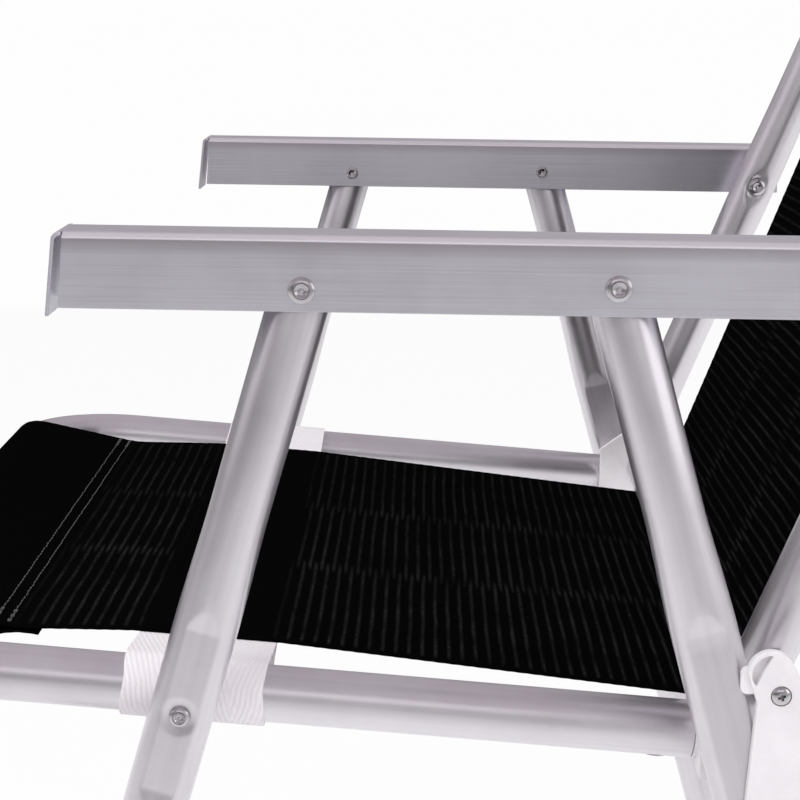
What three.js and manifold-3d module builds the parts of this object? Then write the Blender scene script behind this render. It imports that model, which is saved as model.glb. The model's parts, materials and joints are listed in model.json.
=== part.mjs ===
import * as THREE from 'three';
import { mergeVertices } from 'three/addons/utils/BufferGeometryUtils.js';
import Module from 'manifold-3d';

const wasm = await Module();
wasm.setup();

// Driving dimensions in millimetres and degrees.
// The chair faces -Y. Side-view places are measured from the front arm pivot, y rearwards and z up.
const armPivotHeight = 585;
const armSpacing = 530;
const frameSpacing = 470;
const rearLegPivotY = 127.1;
const rearLegPivotZ = 2.7;
const backPivotY = 266.9;
const backPivotZ = -2.7;
const seatPivotY = -51.3;
const seatPivotZ = -183.8;
const hingeY = 201.2;
const hingeZ = -167.8;

// Round aluminium tube of the four bent frames.
const tubeDiameter = 25.4;
const tubeWall = 1.2;
const bendRadius = 60;
const tubeSides = 14;
const bendSteps = 6;
const barSides = 16;
const arcSteps = 8;
const cornerSteps = 4;

// Clearances.
const fitGap = 0.3;
const slotGap = 0.6;
const foldPlay = 3;

// Arms: channels open below, with the top wall folded down in front.
const armWidth = 30;
const armTop = 22.1;
const armBottom = -8.7;
const armWall = 1.5;
const armCorner = 2;
const armFrontReach = 96;
const armRearOverhang = 18.1;
const flapLean = 5.6;
const flapHang = 2;
const flapStandOff = 2.7;

// Legs.
const rearLegLean = 16.2;
const legTopReach = 10;
const frontFlatStart = 152;
const frontFlatLength = 52;
const frontFlatThickness = 21.4;
const rearFlatStart = 152.6;
const rearFlatLength = 200.4;
const rearFlatThickness = 20;
const flatRamp = 12;

// Seat and back frames.
const railSlope = 3.95;
const railBelowPivot = 1.2;
const railRearReach = 222.9;
const railFrontReach = 153.875;
const backTop = 870;
const backTailReach = 12;
const backFlatLength = 36;
const backFlatThickness = 22.4;
const rearBarDiameter = 19;
const rearBarAhead = 3.7;
const rearBarBelow = 24.4;

// Hinge bracket, measured from the hinge screw.
const bracketPlate = 3;
const bracketBoss = 8.8;
const bracketTongueWidth = 20;
const bracketTongueTop = 19.5;
const bracketBottom = 55;
const bracketBlockTop = 20;
const bracketBlockRear = 15;
const bracketCheekAhead = 31;
const bracketCheekDrop = 12;
const bracketLipReach = 7;
const bracketLipHeight = 12;
const bracketLipCorner = 3;
const bracketArchAhead = 4.5;
const bracketShoulder = 3;
const bracketStay = 5;
const bracketPad = 1.4;
const bracketRim = 2.4;
const crescentFrom = 95;
const crescentTo = 200;
const crescentDepth = 2.4;
const railPlugLength = 30;
const barPlugLength = 16;

// Fasteners.
const rivetShank = 6;
const rivetHead = 11;
const seatPivotHead = 8.8;
const rivetHeadHeight = 2.2;
const rivetHeadRim = 0.8;
const rivetHeadSlope = 1.4;
const rivetDish = 4.2;
const rivetDishDepth = 1.1;
const rivetTail = 9.5;
const rivetTailHeight = 2;
const rivetTailFlat = 6.6;
const rivetTailRim = 1;
const railRivetShank = 4.8;
const railRivetHead = 9;
const railRivetCrown = 6;
const railRivetHeadHeight = 0.8;
const railRivetInset = 15;
const screwShank = 6;
const screwHead = 8.4;
const screwCrown = 5.8;
const screwHeadHeight = 2.8;
const screwHeadRim = 1.4;
const screwSeat = 9.4;
const turnedSides = 12;
const nutAcrossFlats = 10;
const nutHeight = 5;
const washerDiameter = 16;

// Cloth and webbing.
const clothWidth = 380;
const clothThickness = 1.2;
const sleeveDepth = 56;
const sleeveGap = 0.8;
const seamRise = 4.5;
const clothOverStrap = 8.8;
const backSeamOffset = 7.3;
const clothSplit = 6;
const strapWidth = 63.5;
const strapThickness = 1.6;
const strapLap = 12;

// Clip feet on the two floor bars.
const footSole = 3.5;
const footWall = 3;
const footLength = 36;
const footWidth = 28;
const footInset = 88;
const footMouth = 55;
const footFlare = 22.5;

const rad = THREE.MathUtils.degToRad;
const tubeRadius = tubeDiameter / 2;
const armPlane = armSpacing / 2;
const framePlane = frameSpacing / 2;
const floorBarHeight = tubeRadius + footSole;
const side = (y, z) => new THREE.Vector2(y, z);

const armFrontPivot = side(0, 0);
const rearLegPivot = side(rearLegPivotY, rearLegPivotZ);
const backPivot = side(backPivotY, backPivotZ);
const seatPivot = side(seatPivotY, seatPivotZ);
const hinge = side(hingeY, hingeZ);
const rearBar = side(hingeY - rearBarAhead, hingeZ - rearBarBelow);

const frontLegDirection = seatPivot.clone().sub(armFrontPivot).normalize();
const rearLegDirection = side(Math.sin(rad(rearLegLean)), -Math.cos(rad(rearLegLean)));
const railDirection = side(-Math.cos(rad(railSlope)), Math.sin(rad(railSlope)));
const backDirection = backPivot.clone().sub(hinge).normalize();
const backLength = (backTop - armPivotHeight - tubeRadius - hingeZ) / backDirection.y;
const railUp = side(railDirection.y, -railDirection.x);
const railSpot = seatPivot.clone().addScaledVector(railUp, -railBelowPivot);
const railEnd = railSpot.clone().addScaledVector(railDirection, -railRearReach);
const frontBar = railSpot.clone().addScaledVector(railDirection, railFrontReach);

const chair = new THREE.Group();
const paint = {
  aluminium: { color: 0xc9c3c9, roughness: 0.36, metalness: 1 },
  rivet: { color: 0xc2bdc2, roughness: 0.3, metalness: 1 },
  steel: { color: 0x9b9a9f, roughness: 0.25, metalness: 1 },
  plastic: { color: 0xeeeef0, roughness: 0.45, metalness: 0 },
  cloth: { color: 0x0c0c0d, roughness: 0.85, metalness: 0 },
  webbing: { color: 0xf1f0ee, roughness: 0.9, metalness: 0 },
};

function addMesh(name, geometry, finish) {
  const mesh = new THREE.Mesh(geometry, new THREE.MeshStandardMaterial(paint[finish]));
  mesh.name = name;
  chair.add(mesh);
}

// Solids for cutting and joining.
function solidOf(geometry) {
  const bare = geometry.clone();
  bare.deleteAttribute('normal');
  bare.deleteAttribute('uv');
  const merged = mergeVertices(bare, 1e-4);
  const corners = merged.index.array;
  const triVerts = [];
  for (let i = 0; i < corners.length; i += 3) {
    const [a, b, c] = [corners[i], corners[i + 1], corners[i + 2]];
    if (a !== b && b !== c && c !== a) triVerts.push(a, b, c);
  }
  const vertProperties = new Float32Array(merged.attributes.position.array);
  const mesh = new wasm.Mesh({ numProp: 3, vertProperties, triVerts: new Uint32Array(triVerts) });
  return new wasm.Manifold(mesh);
}

function geometryOf(solid) {
  const mesh = solid.getMesh();
  const geometry = new THREE.BufferGeometry();
  geometry.setAttribute('position', new THREE.BufferAttribute(mesh.vertProperties, 3));
  geometry.setIndex(new THREE.BufferAttribute(mesh.triVerts, 1));
  geometry.computeVertexNormals();
  return geometry;
}

function cutFrom(geometry, tools) {
  return geometryOf(tools.reduce((solid, tool) => solid.subtract(solidOf(tool)), solidOf(geometry)));
}

function joinAll(geometries) {
  const [first, ...others] = geometries.map(solidOf);
  return geometryOf(others.reduce((solid, more) => solid.add(more), first));
}

// A flat outline in the side view, made solid from one x to another.
function sideSlab(shape, x0, x1, curveSegments = arcSteps) {
  const low = Math.min(x0, x1);
  const geometry = new THREE.ExtrudeGeometry(shape, {
    depth: Math.abs(x1 - x0), bevelEnabled: false, steps: 1, curveSegments,
  });
  const basis = new THREE.Matrix4().makeBasis(
    new THREE.Vector3(0, 1, 0), new THREE.Vector3(0, 0, 1), new THREE.Vector3(1, 0, 0));
  return geometry.applyMatrix4(basis.setPosition(low, 0, 0));
}

// A round bar across the chair, or a hole for one.
function crossBar(radius, place, x0, x1) {
  const geometry = new THREE.CylinderGeometry(radius, radius, Math.abs(x1 - x0), barSides);
  return geometry.rotateZ(-Math.PI / 2).translate((x0 + x1) / 2, place.x, place.y);
}

// A round bar that lies in a side plane, from a point along a direction.
function sideBar(radius, x, from, direction, length) {
  const geometry = new THREE.CylinderGeometry(radius, radius, length, barSides).translate(0, length / 2, 0);
  geometry.rotateX(Math.atan2(direction.y, direction.x));
  return geometry.translate(x, from.x, from.y);
}

// A curve given by the stations that a bent tube needs.
class TubePath extends THREE.Curve {
  constructor(stations) {
    super();
    this.stations = stations;
  }

  stationAt(t) {
    return this.stations[Math.round(t * (this.stations.length - 1))];
  }

  getPoint(t) {
    return this.stationAt(t).point.clone();
  }

  getPointAt(t) {
    return this.getPoint(t);
  }

  getTangentAt(t) {
    return this.stationAt(t).tangent.clone();
  }
}

// A U of hollow tube: two straight legs from start, joined by a cross bar at end.
// Each flat is a stretch of the legs pressed to a smaller thickness across the chair.
function bentFrame({ origin, direction, halfWidth, start, end, flats }) {
  const stops = [start];
  for (const flat of flats) stops.push(flat.from - flatRamp, flat.from, flat.to, flat.to + flatRamp);
  stops.push(end - bendRadius);
  const stations = [];
  const put = (x, along, acrossTangent, alongTangent) => stations.push({
    point: new THREE.Vector3(x, origin.x + along * direction.x, origin.y + along * direction.y),
    tangent: new THREE.Vector3(acrossTangent, alongTangent * direction.x, alongTangent * direction.y),
  });
  for (const along of stops) put(halfWidth, along, 0, 1);
  for (const bend of [0, 1]) {
    const centre = (1 - 2 * bend) * (halfWidth - bendRadius);
    for (let i = 1 - bend; i <= bendSteps; i += 1) {
      const angle = (bend + i / bendSteps) * Math.PI / 2;
      const [c, s] = [Math.cos(angle), Math.sin(angle)];
      put(centre + bendRadius * c, end - bendRadius + bendRadius * s, -s, c);
    }
  }
  for (const along of stops.slice(0, -1).reverse()) put(-halfWidth, along, 0, -1);

  const section = new THREE.Shape().absarc(0, 0, tubeRadius, 0, 2 * Math.PI);
  section.holes.push(new THREE.Path().absarc(0, 0, tubeRadius - tubeWall, 0, 2 * Math.PI, true));
  const geometry = new THREE.ExtrudeGeometry(section, {
    extrudePath: new TubePath(stations), steps: stations.length - 1, curveSegments: tubeSides / 2,
  });
  return pressFlats(geometry, { origin, direction, halfWidth, flats });
}

function pressFlats(geometry, { origin, direction, halfWidth, flats }) {
  const across = side(-direction.y, direction.x);
  const position = geometry.attributes.position;
  for (let i = 0; i < position.count; i += 1) {
    const offset = side(position.getY(i), position.getZ(i)).sub(origin);
    const along = offset.dot(direction);
    for (const flat of flats) {
      const reach = Math.max(flat.from - along, along - flat.to, 0);
      const pressed = Math.max(0, 1 - reach / flatRamp);
      if (pressed === 0) continue;
      const centre = Math.sign(position.getX(i)) * halfWidth;
      const round = side(position.getX(i) - centre, offset.dot(across));
      const pressedPoint = onPressed(round, tubeDiameter - pressed * (tubeDiameter - flat.thickness));
      const moved = alongFrom(alongFrom(origin, direction, along), across, pressedPoint.y);
      position.setXYZ(i, centre + pressedPoint.x, moved.x, moved.y);
    }
  }
  return geometry;
}

// Where a point of the round section goes when the tube is pressed to a thickness and keeps its girth.
function onPressed(round, thickness) {
  const reach = thickness / 2 - (tubeRadius - round.length());
  const halfFlat = Math.PI * (tubeDiameter - thickness) / 4;
  const girth = tubeRadius * Math.atan2(Math.abs(round.y), Math.abs(round.x)) - halfFlat;
  const turn = 2 * Math.max(0, girth) / thickness;
  const out = reach * Math.cos(turn);
  const aside = halfFlat + Math.min(0, girth) + reach * Math.sin(turn);
  return side(Math.sign(round.x) * out, Math.sign(round.y) * aside);
}

// The angle at which a line from a point touches a round bar.
function tangentAngle(centre, radius, point, turn) {
  const reach = point.clone().sub(centre);
  return Math.atan2(reach.y, reach.x) + turn * Math.acos(radius / reach.length());
}

const mirrored = [1, -1];
const suffix = { 1: 'left', '-1': 'right' };
const holeAcross = (place, diameter, x0, x1) => crossBar(diameter / 2 + fitGap, place, x0, x1);
const alongFrom = (origin, direction, distance) => origin.clone().addScaledVector(direction, distance);

// Front and rear leg frames.
const frontLegEnd = (armPivotHeight - floorBarHeight) / -frontLegDirection.y;
const rearLegEnd = (armPivotHeight + rearLegPivotZ - floorBarHeight) / -rearLegDirection.y;
const frontFlats = [{
  from: frontFlatStart, to: frontFlatStart + frontFlatLength, thickness: frontFlatThickness,
}];
const rearFlats = [{ from: rearFlatStart, to: rearFlatStart + rearFlatLength, thickness: rearFlatThickness }];

const frontLegs = bentFrame({
  origin: armFrontPivot, direction: frontLegDirection, halfWidth: armPlane,
  start: -legTopReach, end: frontLegEnd, flats: frontFlats,
});
const wholeWidth = armSpacing / 2 + armWidth;
addMesh('front_leg_frame', cutFrom(frontLegs, [
  crossBar(rivetShank / 2 + foldPlay + fitGap, armFrontPivot, -wholeWidth, wholeWidth),
  holeAcross(seatPivot, rivetShank, -wholeWidth, wholeWidth),
]), 'aluminium');

const rearLegs = bentFrame({
  origin: rearLegPivot, direction: rearLegDirection, halfWidth: armPlane,
  start: -legTopReach, end: rearLegEnd, flats: rearFlats,
});
addMesh('rear_leg_frame', cutFrom(rearLegs, [
  holeAcross(rearLegPivot, rivetShank, -wholeWidth, wholeWidth),
]), 'aluminium');

// Seat frame: two rails that fall to the rear, and the front bar.
const railRivetPlace = alongFrom(railEnd, railDirection, railRivetInset);
const seatTube = bentFrame({
  origin: railEnd, direction: railDirection, halfWidth: framePlane,
  start: 0, end: railRearReach + railFrontReach, flats: [],
});
const railRivetHole = (s) => sideBar(
  railRivetShank / 2 + fitGap, s * framePlane, railRivetPlace, railUp.clone().negate(), tubeDiameter);
addMesh('seat_frame', cutFrom(seatTube, [
  holeAcross(seatPivot, rivetShank, -wholeWidth, wholeWidth),
  ...mirrored.map(railRivetHole),
]), 'aluminium');

// Back frame: the inverted U, dented where the arms are riveted on.
const backPivotAlong = backPivot.distanceTo(hinge);
const backTube = bentFrame({
  origin: hinge, direction: backDirection, halfWidth: framePlane, start: -backTailReach, end: backLength,
  flats: [{
    from: backPivotAlong - backFlatLength / 2,
    to: backPivotAlong + backFlatLength / 2,
    thickness: backFlatThickness,
  }],
});
addMesh('back_frame', cutFrom(backTube, [
  holeAcross(hinge, screwShank, -wholeWidth, wholeWidth),
  holeAcross(backPivot, rivetShank, -wholeWidth, wholeWidth),
]), 'aluminium');

// Rear cross bar that draws the sling into the corner between seat and back.
const bracketInner = framePlane - tubeRadius - fitGap - bracketPlate;
const barSection = new THREE.Shape().absarc(rearBar.x, rearBar.y, rearBarDiameter / 2, 0, 2 * Math.PI);
barSection.holes.push(new THREE.Path().absarc(
  rearBar.x, rearBar.y, rearBarDiameter / 2 - tubeWall, 0, 2 * Math.PI, true));
addMesh('seat_rear_bar', sideSlab(barSection, -bracketInner + fitGap, bracketInner - fitGap), 'aluminium');

// Arms.
function armChannel(s) {
  const half = armWidth / 2;
  const profile = new THREE.Shape();
  profile.moveTo(-half, armBottom);
  profile.lineTo(-half + armWall, armBottom);
  profile.lineTo(-half + armWall, armTop - armWall);
  profile.lineTo(half - armWall, armTop - armWall);
  profile.lineTo(half - armWall, armBottom);
  profile.lineTo(half, armBottom);
  profile.absarc(half - armCorner, armTop - armCorner, armCorner, 0, Math.PI / 2);
  profile.absarc(-half + armCorner, armTop - armCorner, armCorner, Math.PI / 2, Math.PI);
  const length = armFrontReach + backPivotY + armRearOverhang;
  const channel = new THREE.ExtrudeGeometry(profile, {
    depth: length, bevelEnabled: false, steps: 1, curveSegments: cornerSteps,
  });
  channel.applyMatrix4(new THREE.Matrix4().makeBasis(
    new THREE.Vector3(-1, 0, 0), new THREE.Vector3(0, 0, 1), new THREE.Vector3(0, 1, 0)));
  channel.translate(s * armPlane, -armFrontReach, 0);

  const lean = Math.tan(rad(flapLean));
  const flapFront = -armFrontReach - flapStandOff - armWall;
  const flapFoot = flapFront - (armTop - armBottom) * lean;
  const flap = new THREE.Shape();
  flap.moveTo(-armFrontReach + armWall, armTop);
  flap.lineTo(-armFrontReach + armWall, armTop - armWall);
  flap.lineTo(flapFront + armWall, armTop - armWall);
  flap.lineTo(flapFoot + armWall, armBottom - flapHang);
  flap.lineTo(flapFoot, armBottom - flapHang);
  flap.lineTo(flapFront - armCorner * lean, armTop - armCorner);
  flap.quadraticCurveTo(flapFront, armTop, flapFront + armCorner, armTop);
  const flapHalf = half - fitGap;
  const bent = sideSlab(flap, s * armPlane - flapHalf, s * armPlane + flapHalf, cornerSteps);

  const wallInside = armPlane - half + armWall + fitGap;
  return cutFrom(joinAll([channel, bent]), [
    holeAcross(armFrontPivot, rivetShank, s * (armPlane - armWidth), s * (armPlane + armWidth)),
    holeAcross(rearLegPivot, rivetShank, s * (armPlane - armWidth), s * (armPlane + armWidth)),
    holeAcross(backPivot, rivetShank, s * (armPlane - armWidth), s * wallInside),
  ]);
}
for (const s of mirrored) addMesh(`arm_${suffix[s]}`, armChannel(s), 'aluminium');

// Hinge brackets: one moulding that plugs the rail, forks round the back tube and guides the rear leg.
const pocketOuter = framePlane + tubeRadius + slotGap;
const guideInner = armPlane - rearFlatThickness / 2 - slotGap;
const guideOuter = armPlane + rearFlatThickness / 2 + slotGap;
const bracketOuter = guideOuter + bracketPlate;
const bracketFace = bracketOuter + bracketPad;

function fromHinge(outline) {
  return new THREE.Shape(outline.map(([y, z]) => side(hinge.x + y, hinge.y + z)));
}

function roundTop(halfWidth, bottom, foot) {
  const shape = new THREE.Shape();
  shape.moveTo(hinge.x - halfWidth - foot, hinge.y - bottom);
  shape.lineTo(hinge.x + halfWidth + foot, hinge.y - bottom);
  shape.lineTo(hinge.x + halfWidth, hinge.y);
  shape.absarc(hinge.x, hinge.y, halfWidth, 0, Math.PI);
  return shape;
}

// The outer plate: an arch ahead of the screw and a sloping shoulder behind. A crescent is sunk into the arch.
const arch = side(hinge.x - bracketArchAhead, hinge.y + bracketTongueTop - bracketTongueWidth / 2);

function tongueOutline() {
  const half = bracketTongueWidth / 2;
  const shoulder = side(hinge.x + half + bracketPlate, hinge.y - bracketShoulder);
  const shape = new THREE.Shape();
  shape.moveTo(hinge.x - half - bracketPlate, hinge.y - bracketBottom);
  shape.lineTo(shoulder.x, hinge.y - bracketBottom);
  shape.lineTo(shoulder.x, shoulder.y);
  shape.absarc(arch.x, arch.y, half, tangentAngle(arch, half, shoulder, 1), Math.PI);
  shape.lineTo(hinge.x - half, hinge.y - bracketShoulder);
  return shape;
}

function crescentOutline() {
  const radius = bracketTongueWidth / 2 - bracketRim;
  return new THREE.Shape().absarc(arch.x, arch.y, radius, rad(crescentFrom), rad(crescentTo));
}

function hingeBracket(s) {
  const tongueHalf = bracketTongueWidth / 2;
  const blockFront = railEnd.x - hinge.x + 2 * fitGap + tubeRadius * Math.sin(rad(railSlope));
  const railDrop = hinge.y - railEnd.y;
  const blockBottom = Math.max(bracketBottom, railDrop + tubeRadius + bracketPlate);
  const block = sideSlab(fromHinge([
    [blockFront, -bracketBlockTop], [bracketBlockRear, -bracketBlockTop],
    [bracketBlockRear, -blockBottom], [blockFront, -railDrop - tubeRadius - bracketPlate],
  ]), s * bracketInner, s * guideInner);

  const cheek = new THREE.Shape();
  const cheekFront = side(hinge.x - bracketCheekAhead, hinge.y - bracketCheekDrop);
  cheek.moveTo(cheekFront.x, cheekFront.y);
  cheek.absarc(hinge.x, hinge.y, bracketBoss, tangentAngle(hinge, bracketBoss, cheekFront, -1), 0, true);
  cheek.lineTo(hinge.x + bracketBlockRear, hinge.y - blockBottom);
  cheek.lineTo(cheekFront.x, hinge.y - railDrop - tubeRadius - bracketPlate);
  const innerCheek = sideSlab(cheek, s * bracketInner, s * (bracketInner + bracketPlate));

  const midCheek = sideSlab(roundTop(bracketBoss, blockBottom, bracketBlockRear - bracketBoss),
    s * pocketOuter, s * guideInner);
  const boss = crossBar(bracketBoss, hinge, s * pocketOuter, s * bracketOuter);
  const stayTop = bracketTongueTop - tongueHalf;
  const stay = sideSlab(fromHinge([[0, 0], [bracketStay, 0], [bracketStay, stayTop], [0, stayTop]]),
    s * pocketOuter, s * bracketOuter);
  const tongue = sideSlab(tongueOutline(), s * guideOuter, s * bracketFace);
  const crescent = sideSlab(crescentOutline(), s * (bracketFace - crescentDepth), s * (bracketFace + armWidth));
  const lipFront = hinge.x - tongueHalf - bracketLipReach;
  const lipTop = hinge.y + bracketLipHeight;
  const lipShape = new THREE.Shape();
  lipShape.moveTo(hinge.x, hinge.y);
  lipShape.lineTo(hinge.x, lipTop);
  const round = bracketLipCorner;
  lipShape.absarc(lipFront + round, lipTop - round, round, Math.PI / 2, Math.PI);
  lipShape.absarc(lipFront + round, hinge.y + round, round, Math.PI, Math.PI * 1.5);
  const lip = sideSlab(lipShape, s * guideOuter, s * bracketOuter, cornerSteps);

  const rearward = railDirection.clone().negate();
  const plugStart = alongFrom(railEnd, railDirection, railPlugLength);
  const plugRadius = tubeRadius - tubeWall - fitGap;
  const plug = sideBar(plugRadius, s * framePlane, plugStart, rearward, 2 * railPlugLength);
  const collarStart = alongFrom(railEnd, rearward, fitGap);
  const collar = sideBar(tubeRadius, s * framePlane, collarStart, rearward, railPlugLength);
  const barPlug = crossBar(rearBarDiameter / 2 - tubeWall - fitGap, rearBar,
    s * (bracketInner - barPlugLength), s * (bracketInner + bracketPlate));

  const outerPlate = [boss, stay, tongue, lip];
  return cutFrom(joinAll([block, innerCheek, midCheek, ...outerPlate, plug, collar, barPlug]), [
    crescent,
    crossBar(screwSeat / 2, hinge, s * bracketOuter, s * (bracketFace + armWidth)),
    holeAcross(hinge, screwShank, s * (bracketInner - armWidth), s * (bracketFace + armWidth)),
    railRivetHole(s),
  ]);
}
for (const s of mirrored) addMesh(`hinge_bracket_${suffix[s]}`, hingeBracket(s), 'plastic');

// Rivets and screws lie along x. A rivet has a domed head with a dished centre, and a rolled tail.
function turned(profile, s, place) {
  const geometry = new THREE.LatheGeometry(profile.map(([r, x]) => new THREE.Vector2(r, x)), turnedSides);
  return geometry.rotateZ(-s * Math.PI / 2).translate(0, place.x, place.y);
}

function rivet(s, place, headFace, tailFace, head = rivetHead) {
  const out = Math.sign(headFace - tailFace);
  const onHead = (height) => headFace + out * height;
  const onTail = (height) => tailFace - out * height;
  const profile = [
    [0, onTail(rivetTailHeight)], [rivetTailFlat / 2, onTail(rivetTailHeight)],
    [rivetTail / 2, onTail(rivetTailRim)], [rivetTail / 2, tailFace],
    [rivetShank / 2, tailFace], [rivetShank / 2, headFace],
    [head / 2, headFace], [head / 2, onHead(rivetHeadRim)],
    [head / 2 - rivetHeadSlope, onHead(rivetHeadHeight)], [rivetDish / 2, onHead(rivetHeadHeight)],
    [rivetDish / 2, onHead(rivetHeadHeight - rivetDishDepth)], [0, onHead(rivetHeadHeight - rivetDishDepth)],
  ];
  return turned(out > 0 ? profile : profile.reverse(), s, place);
}

function ringAcross(diameter, bore, s, place, x0, x1) {
  const profile = [[bore, x0], [diameter / 2, x0], [diameter / 2, x1], [bore, x1], [bore, x0]];
  return turned(profile, s, place);
}

const armOutside = armPlane + armWidth / 2;
const armInside = armPlane - armWidth / 2;
const backInside = framePlane - backFlatThickness / 2;
const backOutside = framePlane + backFlatThickness / 2;
const strapOutside = framePlane + tubeRadius + fitGap + strapThickness;
const frontFlatInside = armPlane - frontFlatThickness / 2;
const frontFlatOutside = armPlane + frontFlatThickness / 2;
const shankBore = rivetShank / 2 + fitGap;

for (const s of mirrored) {
  const name = suffix[s];
  addMesh(`arm_front_rivet_${name}`,
    rivet(s, armFrontPivot, armOutside + fitGap, armInside - fitGap), 'rivet');
  addMesh(`arm_rear_rivet_${name}`,
    rivet(s, rearLegPivot, armOutside + fitGap, armInside - fitGap), 'rivet');
  addMesh(`arm_back_rivet_${name}`,
    rivet(s, backPivot, backInside - fitGap, armInside + armWall + fitGap), 'rivet');
  addMesh(`arm_back_washer_${name}`,
    ringAcross(washerDiameter, shankBore, s, backPivot, backOutside + fitGap, armInside - fitGap), 'plastic');
  addMesh(`seat_pivot_rivet_${name}`,
    rivet(s, seatPivot, frontFlatOutside + fitGap, framePlane - tubeRadius - fitGap, seatPivotHead), 'rivet');
  addMesh(`seat_pivot_spacer_${name}`, ringAcross(
    washerDiameter, shankBore, s, seatPivot, strapOutside + fitGap, frontFlatInside - fitGap), 'plastic');

  const screwTop = bracketOuter + fitGap;
  const screwTail = bracketInner - fitGap - nutHeight;
  addMesh(`hinge_screw_${name}`, turned([
    [0, screwTail], [screwShank / 2, screwTail], [screwShank / 2, screwTop], [screwHead / 2, screwTop],
    [screwHead / 2, screwTop + screwHeadRim], [screwCrown / 2, screwTop + screwHeadHeight],
    [0, screwTop + screwHeadHeight],
  ], s, hinge), 'steel');
  const nut = new THREE.CylinderGeometry(
    nutAcrossFlats / Math.sqrt(3), nutAcrossFlats / Math.sqrt(3), nutHeight, 6);
  nut.rotateZ(-Math.PI / 2).translate(s * (bracketInner - fitGap - nutHeight / 2), hinge.x, hinge.y);
  addMesh(`hinge_nut_${name}`, cutFrom(nut, [
    holeAcross(hinge, screwShank, s * (bracketInner - 3 * nutHeight), s * bracketInner),
  ]), 'steel');

  const railHeadFace = -tubeRadius - fitGap;
  const railRivet = new THREE.LatheGeometry([
    [0, railHeadFace - railRivetHeadHeight], [railRivetCrown / 2, railHeadFace - railRivetHeadHeight],
    [railRivetHead / 2, railHeadFace], [railRivetShank / 2, railHeadFace], [railRivetShank / 2, -fitGap],
    [0, -fitGap],
  ].map(([r, up]) => new THREE.Vector2(r, up)), turnedSides);
  railRivet.rotateX(Math.atan2(railUp.y, railUp.x));
  railRivet.translate(s * framePlane, railRivetPlace.x, railRivetPlace.y);
  addMesh(`rail_rivet_${name}`, railRivet, 'rivet');
}

// Strips of cloth and webbing: a centre line wrapped round bars, given its thickness.
function wrap(before, centre, radius, after, clockwise) {
  const turn = clockwise ? 1 : -1;
  const from = tangentAngle(centre, radius, before, -turn);
  const to = tangentAngle(centre, radius, after, turn);
  return new THREE.Path().absarc(centre.x, centre.y, radius, from, to, clockwise).getPoints(arcSteps);
}

function strip(points, thickness) {
  const offsets = points.map((point, i) => {
    const before = points[Math.max(i - 1, 0)];
    const after = points[Math.min(i + 1, points.length - 1)];
    const along = after.clone().sub(before).normalize();
    return side(-along.y, along.x).multiplyScalar(thickness / 2);
  });
  const upper = points.map((point, i) => point.clone().add(offsets[i]));
  const lower = points.map((point, i) => point.clone().sub(offsets[i]));
  return new THREE.Shape([...upper, ...lower.reverse()]);
}

const sleeveRadius = tubeRadius + sleeveGap + clothThickness / 2;
const plyStep = clothThickness + fitGap;
const onRail = (rearward, up) => alongFrom(alongFrom(railSpot, railDirection, -rearward), railUp, up);
const backRear = side(backDirection.y, -backDirection.x);
const onBack = (along, rearward) => alongFrom(alongFrom(hinge, backDirection, along), backRear, rearward);

const frontSeam = sleeveDepth - railFrontReach;
const frontLap = onRail(frontSeam, seamRise - plyStep);
const frontJoin = onRail(frontSeam, seamRise);
const strapFore = onRail(-strapWidth / 2, clothOverStrap);
const strapAft = onRail(strapWidth / 2, clothOverStrap);
const cornerRadius = rearBarDiameter / 2 + fitGap + clothThickness / 2;
const cornerEnd = Math.atan2(backRear.y, backRear.x) - clothSplit / 2 / cornerRadius;
const cornerStart = tangentAngle(rearBar, cornerRadius, strapAft, 1);
const corner = new THREE.Path().absarc(rearBar.x, rearBar.y, cornerRadius, cornerStart, cornerEnd, false);
const seatSling = [
  frontLap, ...wrap(frontLap, frontBar, sleeveRadius, frontJoin, true), frontJoin,
  strapFore, strapAft, ...corner.getPoints(arcSteps),
];
addMesh('sling_seat', sideSlab(strip(seatSling, clothThickness), -clothWidth / 2, clothWidth / 2), 'cloth');

const topBar = alongFrom(hinge, backDirection, backLength);
const topJoin = onBack(backLength - sleeveDepth, backSeamOffset);
const topLap = onBack(backLength - sleeveDepth, backSeamOffset - plyStep);
const cornerTop = alongFrom(alongFrom(rearBar, backRear, cornerRadius), backDirection, clothSplit / 2);
const backSling = [cornerTop, topJoin, ...wrap(topJoin, topBar, sleeveRadius, topLap, false), topLap];
addMesh('sling_back', sideSlab(strip(backSling, clothThickness), -clothWidth / 2, clothWidth / 2), 'cloth');

// Webbing strap under the seat, looped round both rails and lapped back on itself.
const strapRadius = tubeRadius + fitGap + strapThickness / 2;
const strapRise = clothOverStrap - clothThickness / 2 - fitGap - strapThickness / 2;
const strapTurn = clothWidth / 2;
const rightRail = side(-framePlane, 0);
const strapLapEnd = side(-strapTurn + strapLap, strapRise - strapThickness - fitGap);
const strapShoulder = side(-strapTurn, strapRise);
const rightLoop = [
  strapLapEnd, ...wrap(strapLapEnd, rightRail, strapRadius, strapShoulder, true), strapShoulder,
];
const leftLoop = rightLoop.map((point) => side(-point.x, point.y)).reverse();
const strap = new THREE.ExtrudeGeometry(strip([...rightLoop, ...leftLoop], strapThickness), {
  depth: strapWidth, bevelEnabled: false, steps: 1,
});
strap.translate(0, 0, -strapWidth / 2);
strap.applyMatrix4(new THREE.Matrix4().makeBasis(
  new THREE.Vector3(1, 0, 0), new THREE.Vector3(0, railUp.x, railUp.y),
  new THREE.Vector3(0, railDirection.x, railDirection.y)));
strap.translate(0, railSpot.x, railSpot.y);
addMesh('seat_strap', cutFrom(strap, mirrored.map((s) => holeAcross(
  seatPivot, rivetShank, s * framePlane, s * armOutside))), 'webbing');

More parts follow.
